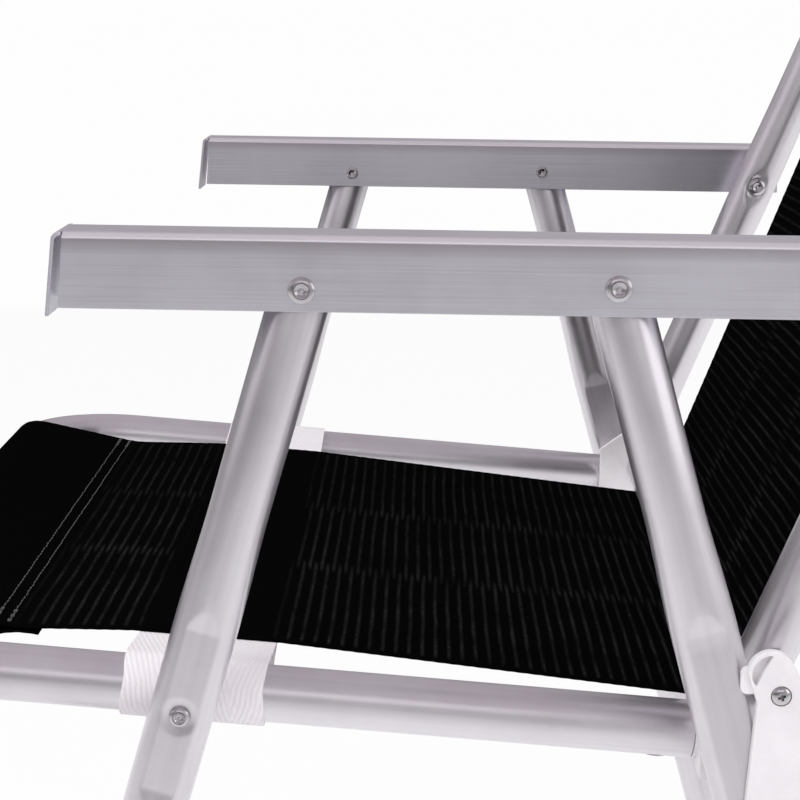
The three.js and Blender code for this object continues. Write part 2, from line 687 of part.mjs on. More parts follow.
// Clip feet.
function clipFoot(bar, s) {
  const inner = tubeRadius + fitGap;
  const outer = inner + footWall;
  const mouth = rad(footMouth);
  const flare = rad(footFlare);
  const shape = new THREE.Shape();
  shape.moveTo(bar.x - footWidth / 2, bar.y - floorBarHeight);
  shape.lineTo(bar.x + footWidth / 2, bar.y - floorBarHeight);
  shape.absarc(bar.x, bar.y, outer, -flare, mouth, false);
  shape.absarc(bar.x, bar.y, inner, mouth, Math.PI - mouth, true);
  shape.absarc(bar.x, bar.y, outer, Math.PI - mouth, Math.PI + flare, false);
  const middle = s * (armPlane - footInset);
  return sideSlab(shape, middle - footLength / 2, middle + footLength / 2);
}
const frontFloorBar = alongFrom(armFrontPivot, frontLegDirection, frontLegEnd);
const rearFloorBar = alongFrom(rearLegPivot, rearLegDirection, rearLegEnd);
for (const s of mirrored) {
  addMesh(`front_foot_${suffix[s]}`, clipFoot(frontFloorBar, s), 'plastic');
  addMesh(`rear_foot_${suffix[s]}`, clipFoot(rearFloorBar, s), 'plastic');
}

// Origin on the floor, under the middle of the chair.
const bounds = new THREE.Box3().setFromObject(chair);
chair.position.set(0, -(bounds.min.y + bounds.max.y) / 2, armPivotHeight);

export default chair;
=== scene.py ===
import json
import math
import random

import bmesh
import bpy
from mathutils import Matrix, Vector
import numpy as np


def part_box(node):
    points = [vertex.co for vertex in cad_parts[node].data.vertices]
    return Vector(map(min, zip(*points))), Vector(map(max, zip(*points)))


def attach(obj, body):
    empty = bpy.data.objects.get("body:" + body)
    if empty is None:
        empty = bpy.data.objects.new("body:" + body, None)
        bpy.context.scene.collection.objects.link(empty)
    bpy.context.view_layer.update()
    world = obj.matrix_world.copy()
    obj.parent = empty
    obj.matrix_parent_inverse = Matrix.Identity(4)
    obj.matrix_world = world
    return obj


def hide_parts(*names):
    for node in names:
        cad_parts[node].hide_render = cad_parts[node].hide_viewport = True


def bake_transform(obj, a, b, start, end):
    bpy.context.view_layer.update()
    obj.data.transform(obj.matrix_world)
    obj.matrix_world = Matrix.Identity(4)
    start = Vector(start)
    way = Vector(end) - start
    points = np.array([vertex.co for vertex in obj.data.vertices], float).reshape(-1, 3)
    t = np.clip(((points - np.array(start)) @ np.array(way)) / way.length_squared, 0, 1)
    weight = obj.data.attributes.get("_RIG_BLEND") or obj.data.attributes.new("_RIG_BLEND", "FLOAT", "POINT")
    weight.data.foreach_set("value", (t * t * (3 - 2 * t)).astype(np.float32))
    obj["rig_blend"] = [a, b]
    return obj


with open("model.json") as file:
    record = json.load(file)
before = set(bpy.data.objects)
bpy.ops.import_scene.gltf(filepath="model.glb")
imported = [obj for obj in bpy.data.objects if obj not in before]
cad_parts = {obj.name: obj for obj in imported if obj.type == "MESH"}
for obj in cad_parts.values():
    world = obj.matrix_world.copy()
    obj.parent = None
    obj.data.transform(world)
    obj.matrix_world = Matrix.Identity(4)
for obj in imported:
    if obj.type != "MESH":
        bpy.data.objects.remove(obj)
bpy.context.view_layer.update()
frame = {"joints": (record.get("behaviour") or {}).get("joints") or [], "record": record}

scene = bpy.context.scene
scene.view_settings.view_transform = "Standard"

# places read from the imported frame: x is across the chair, y to the rear, z up
pivots = {joint["name"]: Vector(joint["pos_m"]) for joint in frame["joints"]}
hinge = pivots["back_fold"]
seatPivot = pivots["front_leg_fold"]
backPivot = pivots["arm_fold"]
rearPivot = pivots["rear_leg_fold"]
across = Vector((1, 0, 0))
quarterTurn = Matrix.Rotation(math.pi / 2, 3, "Y")
sides = {"left": 1, "right": -1}


def middleOf(node):
    low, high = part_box(node)
    return (low + high) / 2


def onSide(node):
    spot = middleOf(node)
    return Vector((0, spot.y, spot.z))


frontPivot = onSide("arm_front_rivet_left")
rearBarSpot = onSide("seat_rear_bar")
armPlane = middleOf("arm_left").x

layout = {
    "framePlane": 0.235, "railSlope": 3.95, "railBelow": 0.0012, "railFront": 0.153875, "railRear": 0.2229,
    "floorBar": 0.0162,
}
tube = {
    "radius": 0.0127, "wall": 0.0012, "bend": 0.060, "sides": 64, "bendSteps": 16, "rampStep": 0.0015,
    "swell": 0.055, "swellStep": 0.005, "edge": 0.00025,
}

framePlane = layout["framePlane"]
slope = math.radians(layout["railSlope"])
railForward = Vector((0, -math.cos(slope), math.sin(slope)))
railUp = Vector((0, math.sin(slope), math.cos(slope)))
railSpot = seatPivot - railUp * layout["railBelow"]
frontBarSpot = railSpot + railForward * layout["railFront"]
railEnd = railSpot - railForward * layout["railRear"]
backUp = (backPivot - hinge).normalized()
backRear = Vector((0, backUp.z, -backUp.y))
backLength = (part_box("back_frame")[1].z - tube["radius"] - hinge.z) / backUp.z
frontDown = (seatPivot - frontPivot).normalized()
rearFloorSpot = Vector((0, middleOf("rear_foot_left").y, layout["floorBar"]))
rearDown = (rearFloorSpot - rearPivot).normalized()


# helpers that turn meshes into pieces, and wire up shader nodes
def toObject(name, bm, sharp=40):
    mesh = bpy.data.meshes.new(name)
    bm.to_mesh(mesh)
    bm.free()
    piece = bpy.data.objects.new(name, mesh)
    scene.collection.objects.link(piece)
    mesh.shade_smooth()
    mesh.set_sharp_from_angle(angle=math.radians(sharp))
    return piece


def bakeModifiers(piece, sharp=40):
    depsgraph = bpy.context.evaluated_depsgraph_get()
    mesh = bpy.data.meshes.new_from_object(piece.evaluated_get(depsgraph))
    piece.modifiers.clear()
    piece.data = mesh
    mesh.shade_smooth()
    mesh.set_sharp_from_angle(angle=math.radians(sharp))
    return piece


def thicken(piece, wall, offset=-1, soften=0.0, sharp=40):
    solidify = piece.modifiers.new("wall", "SOLIDIFY")
    solidify.thickness = wall
    solidify.offset = offset
    solidify.use_even_offset = True
    if soften:
        bevel = piece.modifiers.new("soften", "BEVEL")
        bevel.width = soften
        bevel.segments = 2
        bevel.limit_method = "ANGLE"
        bevel.angle_limit = math.radians(50)
    return bakeModifiers(piece, sharp)


def combine(piece, other, operation):
    tool = piece.modifiers.new("tool", "BOOLEAN")
    tool.operation = operation
    tool.solver = "EXACT"
    tool.object = other
    bakeModifiers(piece)
    bpy.data.objects.remove(other)
    return piece


def evenNormals(piece):
    weighted = piece.modifiers.new("evenNormals", "WEIGHTED_NORMAL")
    weighted.keep_sharp = True
    return piece


def settle(piece, material, slot, body, *nodes):
    piece.data.materials.clear()
    piece.data.materials.append(material)
    if body:
        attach(piece, body)
    if nodes:
        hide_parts(*nodes)
    return piece


def plug(node, inputs):
    for key, value in inputs.items():
        if isinstance(value, bpy.types.NodeSocket):
            node.id_data.links.new(value, node.inputs[key])
        else:
            node.inputs[key].default_value = value
    return node


def addNode(tree, kind, inputs=None, **settings):
    node = tree.nodes.new(kind)
    for key, value in settings.items():
        setattr(node, key, value)
    return plug(node, inputs or {})


def freshMaterial(name):
    material = bpy.data.materials.new(name)
    material.use_nodes = True
    tree = material.node_tree
    return material, tree, tree.nodes["Principled BSDF"]


def mathOf(operation, first, second=0.0, third=0.0):
    inputs = {0: first, 1: second, 2: third}
    return addNode(first.id_data, "ShaderNodeMath", inputs, operation=operation).outputs[0]


def times(first, second):
    return mathOf("MULTIPLY", first, second)


def spread(value, low, high, newLow=0.0, newHigh=1.0):
    inputs = {"Value": value, "From Min": low, "From Max": high, "To Min": newLow, "To Max": newHigh}
    return addNode(value.id_data, "ShaderNodeMapRange", inputs).outputs["Result"]


def blendColours(factor, first, second):
    inputs = {0: factor, 6: first, 7: second}
    return addNode(factor.id_data, "ShaderNodeMix", inputs, data_type="RGBA").outputs[2]


def noiseOf(vector, scale, detail=2.0, roughness=0.5):
    inputs = {"Vector": vector, "Scale": scale, "Detail": detail, "Roughness": roughness}
    return addNode(vector.id_data, "ShaderNodeTexNoise", inputs).outputs["Fac"]


def stretchedNoise(vector, scale, *grain):
    stretched = addNode(vector.id_data, "ShaderNodeMapping", {"Vector": vector, "Scale": scale}).outputs[0]
    return noiseOf(stretched, 1.0, *grain)


def bumpOf(height, strength, distance):
    inputs = {"Height": height, "Strength": strength, "Distance": distance}
    return addNode(height.id_data, "ShaderNodeBump", inputs).outputs[0]


def objectSpot(tree):
    return addNode(tree, "ShaderNodeTexCoord").outputs["Object"]


def tubeSpot(tree):
    return addNode(tree, "ShaderNodeAttribute", attribute_name="tubeCoord").outputs["Vector"]


def clothSpot(tree):
    spot = addNode(tree, "ShaderNodeUVMap", uv_map="clothMap").outputs[0]
    wide, along = addNode(tree, "ShaderNodeSeparateXYZ", {0: spot}).outputs[:2]
    return spot, wide, along


# materials
metalGrain = {
    "streaks": (3.0, 0.6), "clouds": (4.0, 0.6), "cloudShare": 0.6, "toneSpan": (0.34, 0.66),
    "roughSpan": (0.7, 1.3), "pits": 900.0, "pitShare": 0.35, "depth": 0.0001,
}


def drawnMetal(name, finish, spotOf):
    g = metalGrain
    material, tree, shader = freshMaterial(name)
    spot = spotOf(tree)
    streaks = stretchedNoise(spot, finish["streak"], *g["streaks"])
    clouds = noiseOf(spot, finish["cloud"], *g["clouds"])
    share = mathOf("MULTIPLY_ADD", streaks, finish["streakShare"], times(clouds, g["cloudShare"]))
    colour = blendColours(spread(share, *g["toneSpan"]), finish["dark"], finish["light"])
    # the arms get a painted highlight on their outer folds and a painted shade band on their walls just
    # below, read from the fold attribute
    if "foldHighlight" in finish:
        fold = addNode(tree, "ShaderNodeAttribute", attribute_name="paintedFoldLight").outputs["Fac"]
        colour = blendColours(spread(fold, 0.0, 1.0), colour, finish["foldHighlight"])
        colour = blendColours(spread(fold, -1.0, 0.0, 1.0, 0.0), colour, finish["foldShade"])
    height = mathOf("MULTIPLY_ADD", noiseOf(spot, g["pits"]), g["pitShare"], streaks)
    plug(shader, {
        "Metallic": finish["metal"], "Base Color": colour,
        "Roughness": spread(mathOf("ADD", streaks, clouds), *g["roughSpan"], *finish["rough"]),
        "Normal": bumpOf(height, finish["bump"], g["depth"]),
    })
    return material


tubeFinish = {
    "streak": (420.0, 420.0, 7.0), "cloud": 24.0, "streakShare": 0.4, "rough": (0.28, 0.36), "bump": 0.10,
    "metal": 0.86, "dark": (0.690, 0.653, 0.690, 1), "light": (0.795, 0.775, 0.817, 1),
}
armFinish = {
    "streak": (1100.0, 8.0, 1100.0), "cloud": 17.0, "streakShare": 0.6, "rough": (0.28, 0.38), "bump": 0.20,
    "metal": 0.86, "dark": (0.645, 0.615, 0.672, 1), "light": (0.768, 0.754, 0.822, 1),
    # the next two colours are a painted highlight for the outer folds and a painted shade for the band just
    # below them
    "foldHighlight": (0.960, 0.935, 0.970, 1), "foldShade": (0.520, 0.470, 0.520, 1),
}
rivetFinish = {
    "streak": (160.0, 160.0, 160.0), "cloud": 210.0, "streakShare": 0.4, "rough": (0.20, 0.34), "bump": 0.12,
    "metal": 1.0, "dark": (0.520, 0.490, 0.520, 1), "light": (0.680, 0.660, 0.690, 1),
}
steelFinish = {
    "streak": (300.0, 300.0, 300.0), "cloud": 260.0, "streakShare": 0.4, "rough": (0.12, 0.20), "bump": 0.06,
    "metal": 1.0, "dark": (0.540, 0.530, 0.550, 1), "light": (0.680, 0.670, 0.690, 1),
}
tubeMetal = drawnMetal("satinTube", tubeFinish, tubeSpot)
armMetal = drawnMetal("brushedArm", armFinish, objectSpot)
rivetMetal = drawnMetal("rivetAluminium", rivetFinish, objectSpot)
steelMetal = drawnMetal("zincSteel", steelFinish, objectSpot)

mouldedFinish = {
    "pale": (0.860, 0.850, 0.862, 1), "deep": (0.800, 0.788, 0.800, 1), "rough": (0.36, 0.50), "gloss": 0.42,
    "clouds": (42.0, 4.0, 0.6), "cloudSpan": (0.36, 0.64), "grain": 1500.0, "grainSpan": (0.3, 0.7),
    "bump": (0.12, 0.0001),
}


def mouldedPlastic(finish):
    material, tree, shader = freshMaterial("whiteMoulding")
    spot = objectSpot(tree)
    tone = spread(noiseOf(spot, *finish["clouds"]), *finish["cloudSpan"])
    grain = noiseOf(spot, finish["grain"])
    plug(shader, {
        "Base Color": blendColours(tone, finish["deep"], finish["pale"]),
        "Specular IOR Level": finish["gloss"],
        "Roughness": spread(grain, *finish["grainSpan"], *finish["rough"]),
        "Normal": bumpOf(grain, *finish["bump"]),
    })
    return material


whitePlastic = mouldedPlastic(mouldedFinish)

# ribs run across the sling in three bands, each half a pitch out of step with the next
# the rib colour is a painted highlight on the black ground
clothFinish = {
    "width": 0.380, "pitch": 0.00638, "ridge": (0.04, 0.20), "band": 0.120, "bandStart": 0.0055,
    "bandReach": (0.1, 2.9), "bandLap": 0.08, "wander": 0.0026, "wanderScale": 14.0,
    "ground": (0.0022, 0.0022, 0.0023, 1), "rib": (0.0360, 0.0360, 0.0370, 1), "rough": 0.85,
    "paintedFrontShade": (0.184, 0.198), "strap": (0.2444, 0.3098), "strapFade": 0.004, "edge": (0.002, 0.007),
    "paintedNearLight": (0.65, 1.20), "dash": 0.0013, "weave": (-0.3, 0.7, 0.25, 1.0), "fibres": (700.0, 3.0, 0.7),
    "fibreSpan": (0.34, 0.62), "patches": (30.0, 3.0, 0.6), "patchSpan": (0.3, 0.7, 0.2, 1.3),
    "weaveRise": 0.4, "bump": (0.35, 0.0003),
}


def bandedRibs(finish, spot, wide, along):
    first = finish["bandStart"]
    low, high = finish["bandReach"]
    band = spread(wide, first + low * finish["band"], first + high * finish["band"], low - 0.5, high - 0.5)
    turned = mathOf("PINGPONG", band, 1.0)
    drifted = mathOf("MULTIPLY_ADD", noiseOf(spot, finish["wanderScale"]), finish["wander"], along)
    turns = mathOf("DIVIDE", drifted, finish["pitch"])
    lap = finish["bandLap"]
    ridges = []
    for shift, *share in ((0.0, 0.5, 0.5 + lap, 1.0, 0.0), (0.5, 0.5 - lap, 0.5, 0.0, 1.0)):
        phase = mathOf("FRACT", mathOf("ADD", turns, shift))
        reach = mathOf("ABSOLUTE", mathOf("SUBTRACT", phase, 0.5))
        ridges.append(times(spread(reach, *finish["ridge"], 1.0, 0.0), spread(turned, *share)))
    return mathOf("MAXIMUM", *ridges)


# the ribs are painted lighter as a painted highlight; none are painted at the hems or over the strap, painted
# shade hides them towards the front, and a painted light ramp brightens them towards the +x edge
def ribHighlightMask(finish, wide, along):
    inset = mathOf("PINGPONG", wide, finish["width"] / 2)
    paintedNearLight = spread(wide, 0.0, finish["width"], *finish["paintedNearLight"])
    inside = times(spread(inset, *finish["edge"]), paintedNearLight)
    start, end = finish["strap"]
    half = (end - start) / 2
    fade = finish["strapFade"]
    offStrap = mathOf("ABSOLUTE", mathOf("SUBTRACT", along, (start + end) / 2))
    unbacked = spread(offStrap, half - fade, half + fade)
    return times(times(spread(along, *finish["paintedFrontShade"]), unbacked), inside)


def ribbedCloth(finish):
    material, tree, shader = freshMaterial("blackMesh")
    spot, wide, along = clothSpot(tree)
    weft = mathOf("SINE", times(wide, 2 * math.pi / finish["dash"]))
    warp = mathOf("SINE", times(along, 4 * math.pi / finish["dash"]))
    fibres = noiseOf(spot, *finish["fibres"])
    dashes = times(spread(weft, *finish["weave"]), spread(fibres, *finish["fibreSpan"]))
    # the rib lines are a painted highlight, masked as below
    paintedRibLight = times(bandedRibs(finish, spot, wide, along), times(dashes, ribHighlightMask(finish, wide, along)))
    shown = times(paintedRibLight, spread(noiseOf(spot, *finish["patches"]), *finish["patchSpan"]))
    height = mathOf("MULTIPLY_ADD", times(weft, warp), finish["weaveRise"], fibres)
    plug(shader, {
        "Base Color": blendColours(shown, finish["ground"], finish["rib"]), "Roughness": finish["rough"],
        "Specular IOR Level": 0.0, "Normal": bumpOf(height, *finish["bump"]),
    })
    return material


blackCloth = ribbedCloth(clothFinish)

webbingFinish = {
    "line": 0.0024, "rise": 0.0096, "column": 0.0318, "wobble": 0.0012, "wobbleScale": 160.0,
    "pale": (0.920, 0.905, 0.920, 1), "paintedGrooveShade": (0.860, 0.840, 0.860, 1), "valley": (-0.9, 0.1, 1.0, 0.0),
    "fibres": (2200, 500, 1), "fibreSpan": (0.3, 0.6, 0.5, 1.0), "fibreRise": 0.35, "bump": (0.25, 0.0003),
    "rough": 0.72, "gloss": 0.25, "sheen": 0.15,
}


def herringboneWebbing(finish):
    material, tree, shader = freshMaterial("whiteWebbing")
    spot, wide, along = clothSpot(tree)
    wobble = times(noiseOf(spot, finish["wobbleScale"]), finish["wobble"])
    zigzag = mathOf("PINGPONG", mathOf("ADD", wide, wobble), finish["column"] / 2)
    lengthwise = mathOf("DIVIDE", along, finish["rise"])
    phase = mathOf("SUBTRACT", mathOf("DIVIDE", zigzag, finish["line"]), lengthwise)
    wave = mathOf("SINE", times(phase, 2 * math.pi))
    fibres = stretchedNoise(spot, finish["fibres"])
    # the weave's valleys are painted darker with the groove colour, a painted shade
    shade = times(spread(wave, *finish["valley"]), spread(fibres, *finish["fibreSpan"]))
    height = mathOf("MULTIPLY_ADD", fibres, finish["fibreRise"], wave)
    plug(shader, {
        "Base Color": blendColours(shade, finish["pale"], finish["paintedGrooveShade"]), "Roughness": finish["rough"],
        "Specular IOR Level": finish["gloss"], "Sheen Weight": finish["sheen"],
        "Normal": bumpOf(height, *finish["bump"]),
    })
    return material


whiteWebbing = herringboneWebbing(webbingFinish)

threadFinish = {"twist": 2600.0, "span": (0.35, 0.65), "shade": 0.6, "rough": 0.7, "bump": (0.3, 0.0002)}


def sewingThread(name, colour):
    t = threadFinish
    material, tree, shader = freshMaterial(name)
    twist = noiseOf(objectSpot(tree), t["twist"])
    dark = [t["shade"] * part for part in colour[:3]] + [1]
    plug(shader, {
        "Base Color": blendColours(spread(twist, *t["span"]), dark, colour), "Roughness": t["rough"],
        "Normal": bumpOf(twist, *t["bump"]),
    })
    return material


greyThread = sewingThread("greyThread", (0.120, 0.117, 0.120, 1))
whiteThread = sewingThread("whiteThread", (0.780, 0.760, 0.780, 1))
print("materials made")


# mesh tools, then bent tube frames
touching = 1e-6


def newVerts(made):
    return [part for part in made if isinstance(part, bmesh.types.BMVert)]


def lastRing(made, verts):
    fresh = set(verts)
    return [part for part in made if isinstance(part, bmesh.types.BMEdge) and fresh.issuperset(part.verts)]


def moveBy(bm, step, verts):
    bmesh.ops.translate(bm, vec=step, verts=verts)


def drawOut(bm, edges, step):
    made = bmesh.ops.extrude_edge_only(bm, edges=edges)["geom"]
    verts = newVerts(made)
    moveBy(bm, step, verts)
    return verts, lastRing(made, verts)


def spun(bm, geom, centre, axis, angle, steps, merge=False):
    return bmesh.ops.spin(bm, geom=geom, cent=centre, axis=axis, dvec=(0, 0, 0), angle=angle, steps=steps,
                          use_merge=merge, use_normal_flip=False, use_duplicate=False)["geom_last"]


def rounded(bm, geom, offset, segments, affect="EDGES"):
    bmesh.ops.bevel(bm, geom=geom, offset=offset, segments=segments, profile=0.5, affect=affect, material=-1)


def roundRidges(bm, angle, offset):
    bmesh.ops.recalc_face_normals(bm, faces=bm.faces)
    if offset:
        limit = math.radians(angle)
        ridges = [e for e in bm.edges if len(e.link_faces) == 2 and e.calc_face_angle() > limit]
        rounded(bm, ridges, offset, segments=2)


def basis(first, second, third):
    return Matrix((first, second, third)).transposed().to_4x4()


def tubeRing(radius, around):
    bm = bmesh.new()
    coord = bm.verts.layers.float_vector.new("tubeCoord")
    bmesh.ops.create_circle(bm, segments=around, radius=radius)
    for vert in bm.verts:
        vert[coord] = vert.co
    return bm, coord


def runOn(bm, ring, step, coord):
    verts, ring = drawOut(bm, ring, step)
    for vert in verts:
        vert[coord] = vert[coord] + Vector((0, 0, step.length))
    return ring


def bendOn(bm, ring, centre, axis, coord):
    turn = math.pi / 2 / tube["bendSteps"]
    for step in range(tube["bendSteps"]):
        made = spun(bm, ring, centre, axis, turn, 1)
        verts = newVerts(made)
        for vert in verts:
            vert[coord] = vert[coord] + Vector((0, 0, turn * tube["bend"]))
        ring = lastRing(made, verts)
    return ring


def legStops(start, end, flats):
    stops = [start]
    for flat in flats:
        reaches = (tube["swell"], flat["ramp"], 0)
        before = [flat["from"] - reach for reach in reaches]
        marks = before + [flat["to"] + reach for reach in reversed(reaches)]
        steps = (tube["swellStep"], tube["rampStep"], flat["step"], tube["rampStep"], tube["swellStep"])
        for first, last, step in zip(marks, marks[1:], steps):
            count = math.ceil((last - first) / step)
            stops += [first + (last - first) * i / count for i in range(count)]
        stops.append(marks[-1])
    return stops + [end - tube["bend"]]


def eased(share):
    return share * share * (3 - 2 * share)


def pressFlats(bm, origin, direction, half, flats):
    aside = direction.cross(across)
    radius = tube["radius"]
    for vert in bm.verts:
        offset = vert.co - origin
        along = offset.dot(direction)
        for flat in flats:
            reach = max(flat["from"] - along, along - flat["to"], 0)
            if reach >= tube["swell"]:
                continue
            squeeze = 2 * radius - flat["thickness"]
            thickness = 2 * radius - squeeze * max(0, 1 - reach / flat["ramp"])
            swollen = 1 + (math.pi / 4 - 0.5) * squeeze * eased(1 - reach / tube["swell"]) / radius
            middle = math.copysign(half, vert.co.x)
            outX = vert.co.x - middle
            newX = math.copysign(min(abs(outX), thickness / 2), outX)
            newY = offset.dot(aside) * swollen
            vert.co = origin + direction * along + across * (middle + newX) + aside * newY


def pressDimples(bm, half, dimples):
    for dimple in dimples:
        for vert in bm.verts:
            outward = (abs(vert.co.x) - half) * dimple["face"]
            away = math.hypot(vert.co.y - dimple["spot"].y, vert.co.z - dimple["spot"].z)
            if outward > 0 and away < dimple["rim"]:
                share = min(1, (dimple["rim"] - away) / (dimple["rim"] - dimple["floor"]))
                dip = dimple["depth"] * eased(share)
                vert.co.x -= math.copysign(dip, vert.co.x) * dimple["face"]


def bentTube(name, origin, direction, half, start, end, flats=(), dimples=(), around=tube["sides"]):
    bm, coord = tubeRing(tube["radius"], around)
    place = Matrix.Translation(origin + direction * start + across * half)
    turned = basis(across, direction.cross(across), direction)
    bmesh.ops.transform(bm, matrix=place @ turned, verts=bm.verts)
    ring = list(bm.edges)
    stops = legStops(start, end, flats)
    steps = [after - before for before, after in zip(stops, stops[1:])]
    for step in steps:
        ring = runOn(bm, ring, direction * step, coord)
    axis = direction.cross(-across)
    inner = origin + direction * (end - tube["bend"])
    ring = bendOn(bm, ring, inner + across * (half - tube["bend"]), axis, coord)
    ring = runOn(bm, ring, across * (-2 * (half - tube["bend"])), coord)
    ring = bendOn(bm, ring, inner - across * (half - tube["bend"]), axis, coord)
    for step in reversed(steps):
        ring = runOn(bm, ring, -direction * step, coord)
    pressFlats(bm, origin, direction, half, flats)
    pressDimples(bm, half, dimples)
    bmesh.ops.recalc_face_normals(bm, faces=bm.faces)
    return thicken(toObject(name, bm), tube["wall"], soften=tube["edge"])


frontLeg = {
    "top": 0.010, "around": 96,
    "flat": {"from": 0.152, "to": 0.226, "thickness": 0.0214, "step": 0.001, "ramp": 0.0105},
    "dimple": {"spot": seatPivot, "rim": 0.0092, "floor": 0.0042, "depth": 0.0010, "face": 1},
}
rearLeg = {
    "top": 0.010, "flat": {"from": 0.1526, "to": 0.353, "thickness": 0.0200, "step": 0.008, "ramp": 0.0105},
}
backFrame = {
    "tail": 0.012, "flat": 0.016, "thickness": 0.0230,
    "dimple": {"spot": backPivot, "rim": 0.0085, "floor": 0.0055, "depth": 0.0010, "face": -1},
}

frontLegEnd = (frontPivot.z - layout["floorBar"]) / -frontDown.z
rearLegEnd = (rearPivot.z - layout["floorBar"]) / -rearDown.z
backAlong = (backPivot - hinge).length
backFlat = {
    "from": backAlong - backFrame["flat"] / 2, "to": backAlong + backFrame["flat"] / 2,
    "thickness": backFrame["thickness"], "step": 0.0012, "ramp": 0.006,
}

frontLegTube = bentTube("frontLegTube", frontPivot, frontDown, armPlane, -frontLeg["top"], frontLegEnd,
                        [frontLeg["flat"]], [frontLeg["dimple"]], frontLeg["around"])
rearLegTube = bentTube("rearLegTube", rearPivot, rearDown, armPlane, -rearLeg["top"], rearLegEnd,
                       [rearLeg["flat"]])
seatTube = bentTube("seatTube", railEnd, railForward, framePlane, 0, layout["railRear"] + layout["railFront"])
backTube = bentTube("backTube", hinge, backUp, framePlane, -backFrame["tail"], backLength, [backFlat],
                    [backFrame["dimple"]])
settle(frontLegTube, tubeMetal, "tube", "front_legs", "front_leg_frame")
settle(rearLegTube, tubeMetal, "tube", "rear_legs", "rear_leg_frame")
settle(seatTube, tubeMetal, "tube", "seat", "seat_frame")
settle(backTube, tubeMetal, "tube", "back", "back_frame")

rearBar = {"radius": 0.0095, "half": 0.2187, "sides": 36, "edge": 0.0002}


def rearBarTube():
    bm, coord = tubeRing(rearBar["radius"], rearBar["sides"])
    bmesh.ops.rotate(bm, matrix=quarterTurn, verts=bm.verts)
    moveBy(bm, rearBarSpot - across * rearBar["half"], bm.verts)
    runOn(bm, list(bm.edges), across * (2 * rearBar["half"]), coord)
    bmesh.ops.recalc_face_normals(bm, faces=bm.faces)
    return thicken(toObject("rearBarTube", bm), tube["wall"], soften=rearBar["edge"])


settle(rearBarTube(), tubeMetal, "tube", "seat", "seat_rear_bar")
print("tube frames made")


# arms: sheet bent to a channel, with the top wall folded down in front
armShape = {
    "half": 0.015, "top": 0.0221, "bottom": -0.0087, "wall": 0.0015, "corner": 0.0028, "front": 0.096,
    "rear": 0.0181, "standOff": 0.0042, "lean": 5.6, "hang": 0.0034, "flapHalf": 0.0147, "notch": 0.0006,
    "fold": 0.0030, "draw": 0.0005, "drawn": 0.0085, "cutLean": 0.0020, "edge": 0.0006,
}


def bentArm(side):
    a = armShape
    middle = frontPivot + across * (sides[side] * armPlane)
    front = middle.y - a["front"]
    top = middle.z + a["top"]
    bottom = middle.z + a["bottom"]
    bm = bmesh.new()
    drawn = top - a["drawn"]
    shoulder = a["half"] - a["draw"]
    corners = [
        (-a["half"], bottom), (-a["half"], drawn), (-shoulder, top), (shoulder, top), (a["half"], drawn),
        (a["half"], bottom),
    ]
    verts = [bm.verts.new((middle.x + x, front, z)) for x, z in corners]
    edges = [bm.edges.new(pair) for pair in zip(verts, verts[1:])]
    length = backPivot.y + a["rear"] - front
    drawOut(bm, edges, (0, length, 0))
    for vert in verts:
        vert.co.y -= a["cutLean"] * (top - vert.co.z) / (top - bottom)
    ridge = [e for e in bm.edges if all(v.co.z > top - touching for v in e.verts)]
    folds = [e for e in ridge if abs(e.verts[0].co.x - e.verts[1].co.x) < touching]
    rounded(bm, folds, a["corner"], segments=8)
    lip = [e for e in bm.edges if all(v.co.y < front + touching and v.co.z > top - touching for v in e.verts)]
    verts, ring = drawOut(bm, lip, (0, -a["notch"], 0))
    for vert in verts:
        vert.co.x = middle.x + math.copysign(a["flapHalf"], vert.co.x - middle.x)
    fold = drawOut(bm, ring, (0, a["notch"] - a["standOff"], 0))[1]
    drop = top - bottom + a["hang"]
    drawOut(bm, fold, (0, -drop * math.tan(math.radians(a["lean"])), -drop))
    rounded(bm, fold, a["fold"], segments=6)
    bmesh.ops.recalc_face_normals(bm, faces=bm.faces)
    return evenNormals(thicken(toObject("arm_" + side + "_channel", bm), a["wall"], soften=a["edge"]))


# the outer folds get a painted highlight, and the walls a painted shade band just below them
foldLightPaint = {"gain": 3.0, "least": 0.3, "shadeFrom": 0.0025, "shadeTo": 0.0068}


def paintFoldLight(piece):
    layer = piece.data.attributes.new("paintedFoldLight", "FLOAT", "POINT")
    top = frontPivot.z + armShape["top"]
    front = frontPivot.y - armShape["front"] - armShape["cutLean"] / 2
    for vert in piece.data.vertices:
        # the painted highlight grows with how far the normal leans into the fold
        bend = min(abs(vert.normal.x), vert.normal.z)
        share = max(0.0, min(1.0, foldLightPaint["gain"] * bend - foldLightPaint["least"]))
        # a band just below the top is set to painted shade
        if foldLightPaint["shadeFrom"] < top - vert.co.z < foldLightPaint["shadeTo"] and vert.co.y > front:
            share = -1.0
        layer.data[vert.index].value = share
    return piece


for side in sides:
    settle(paintFoldLight(bentArm(side)), armMetal, "arm", "arms", "arm_" + side)
print("arms made")


# rivets, screws and rings turned about x
def turnedPiece(name, profile, spot, sign, soft=0.0002, steps=40):
    bm = bmesh.new()
    verts = [bm.verts.new((x, radius, 0)) for radius, x in profile]
    for pair in zip(verts, verts[1:]):
        bm.edges.new(pair)
    spun(bm, bm.verts[:] + bm.edges[:], (0, 0, 0), across, 2 * math.pi, steps, merge=True)
    bmesh.ops.remove_doubles(bm, verts=bm.verts, dist=touching)
    bmesh.ops.scale(bm, vec=(sign, 1, 1), verts=bm.verts)
    moveBy(bm, spot, bm.verts)
    roundRidges(bm, angle=28, offset=soft)
    return toObject(name, bm, sharp=50)


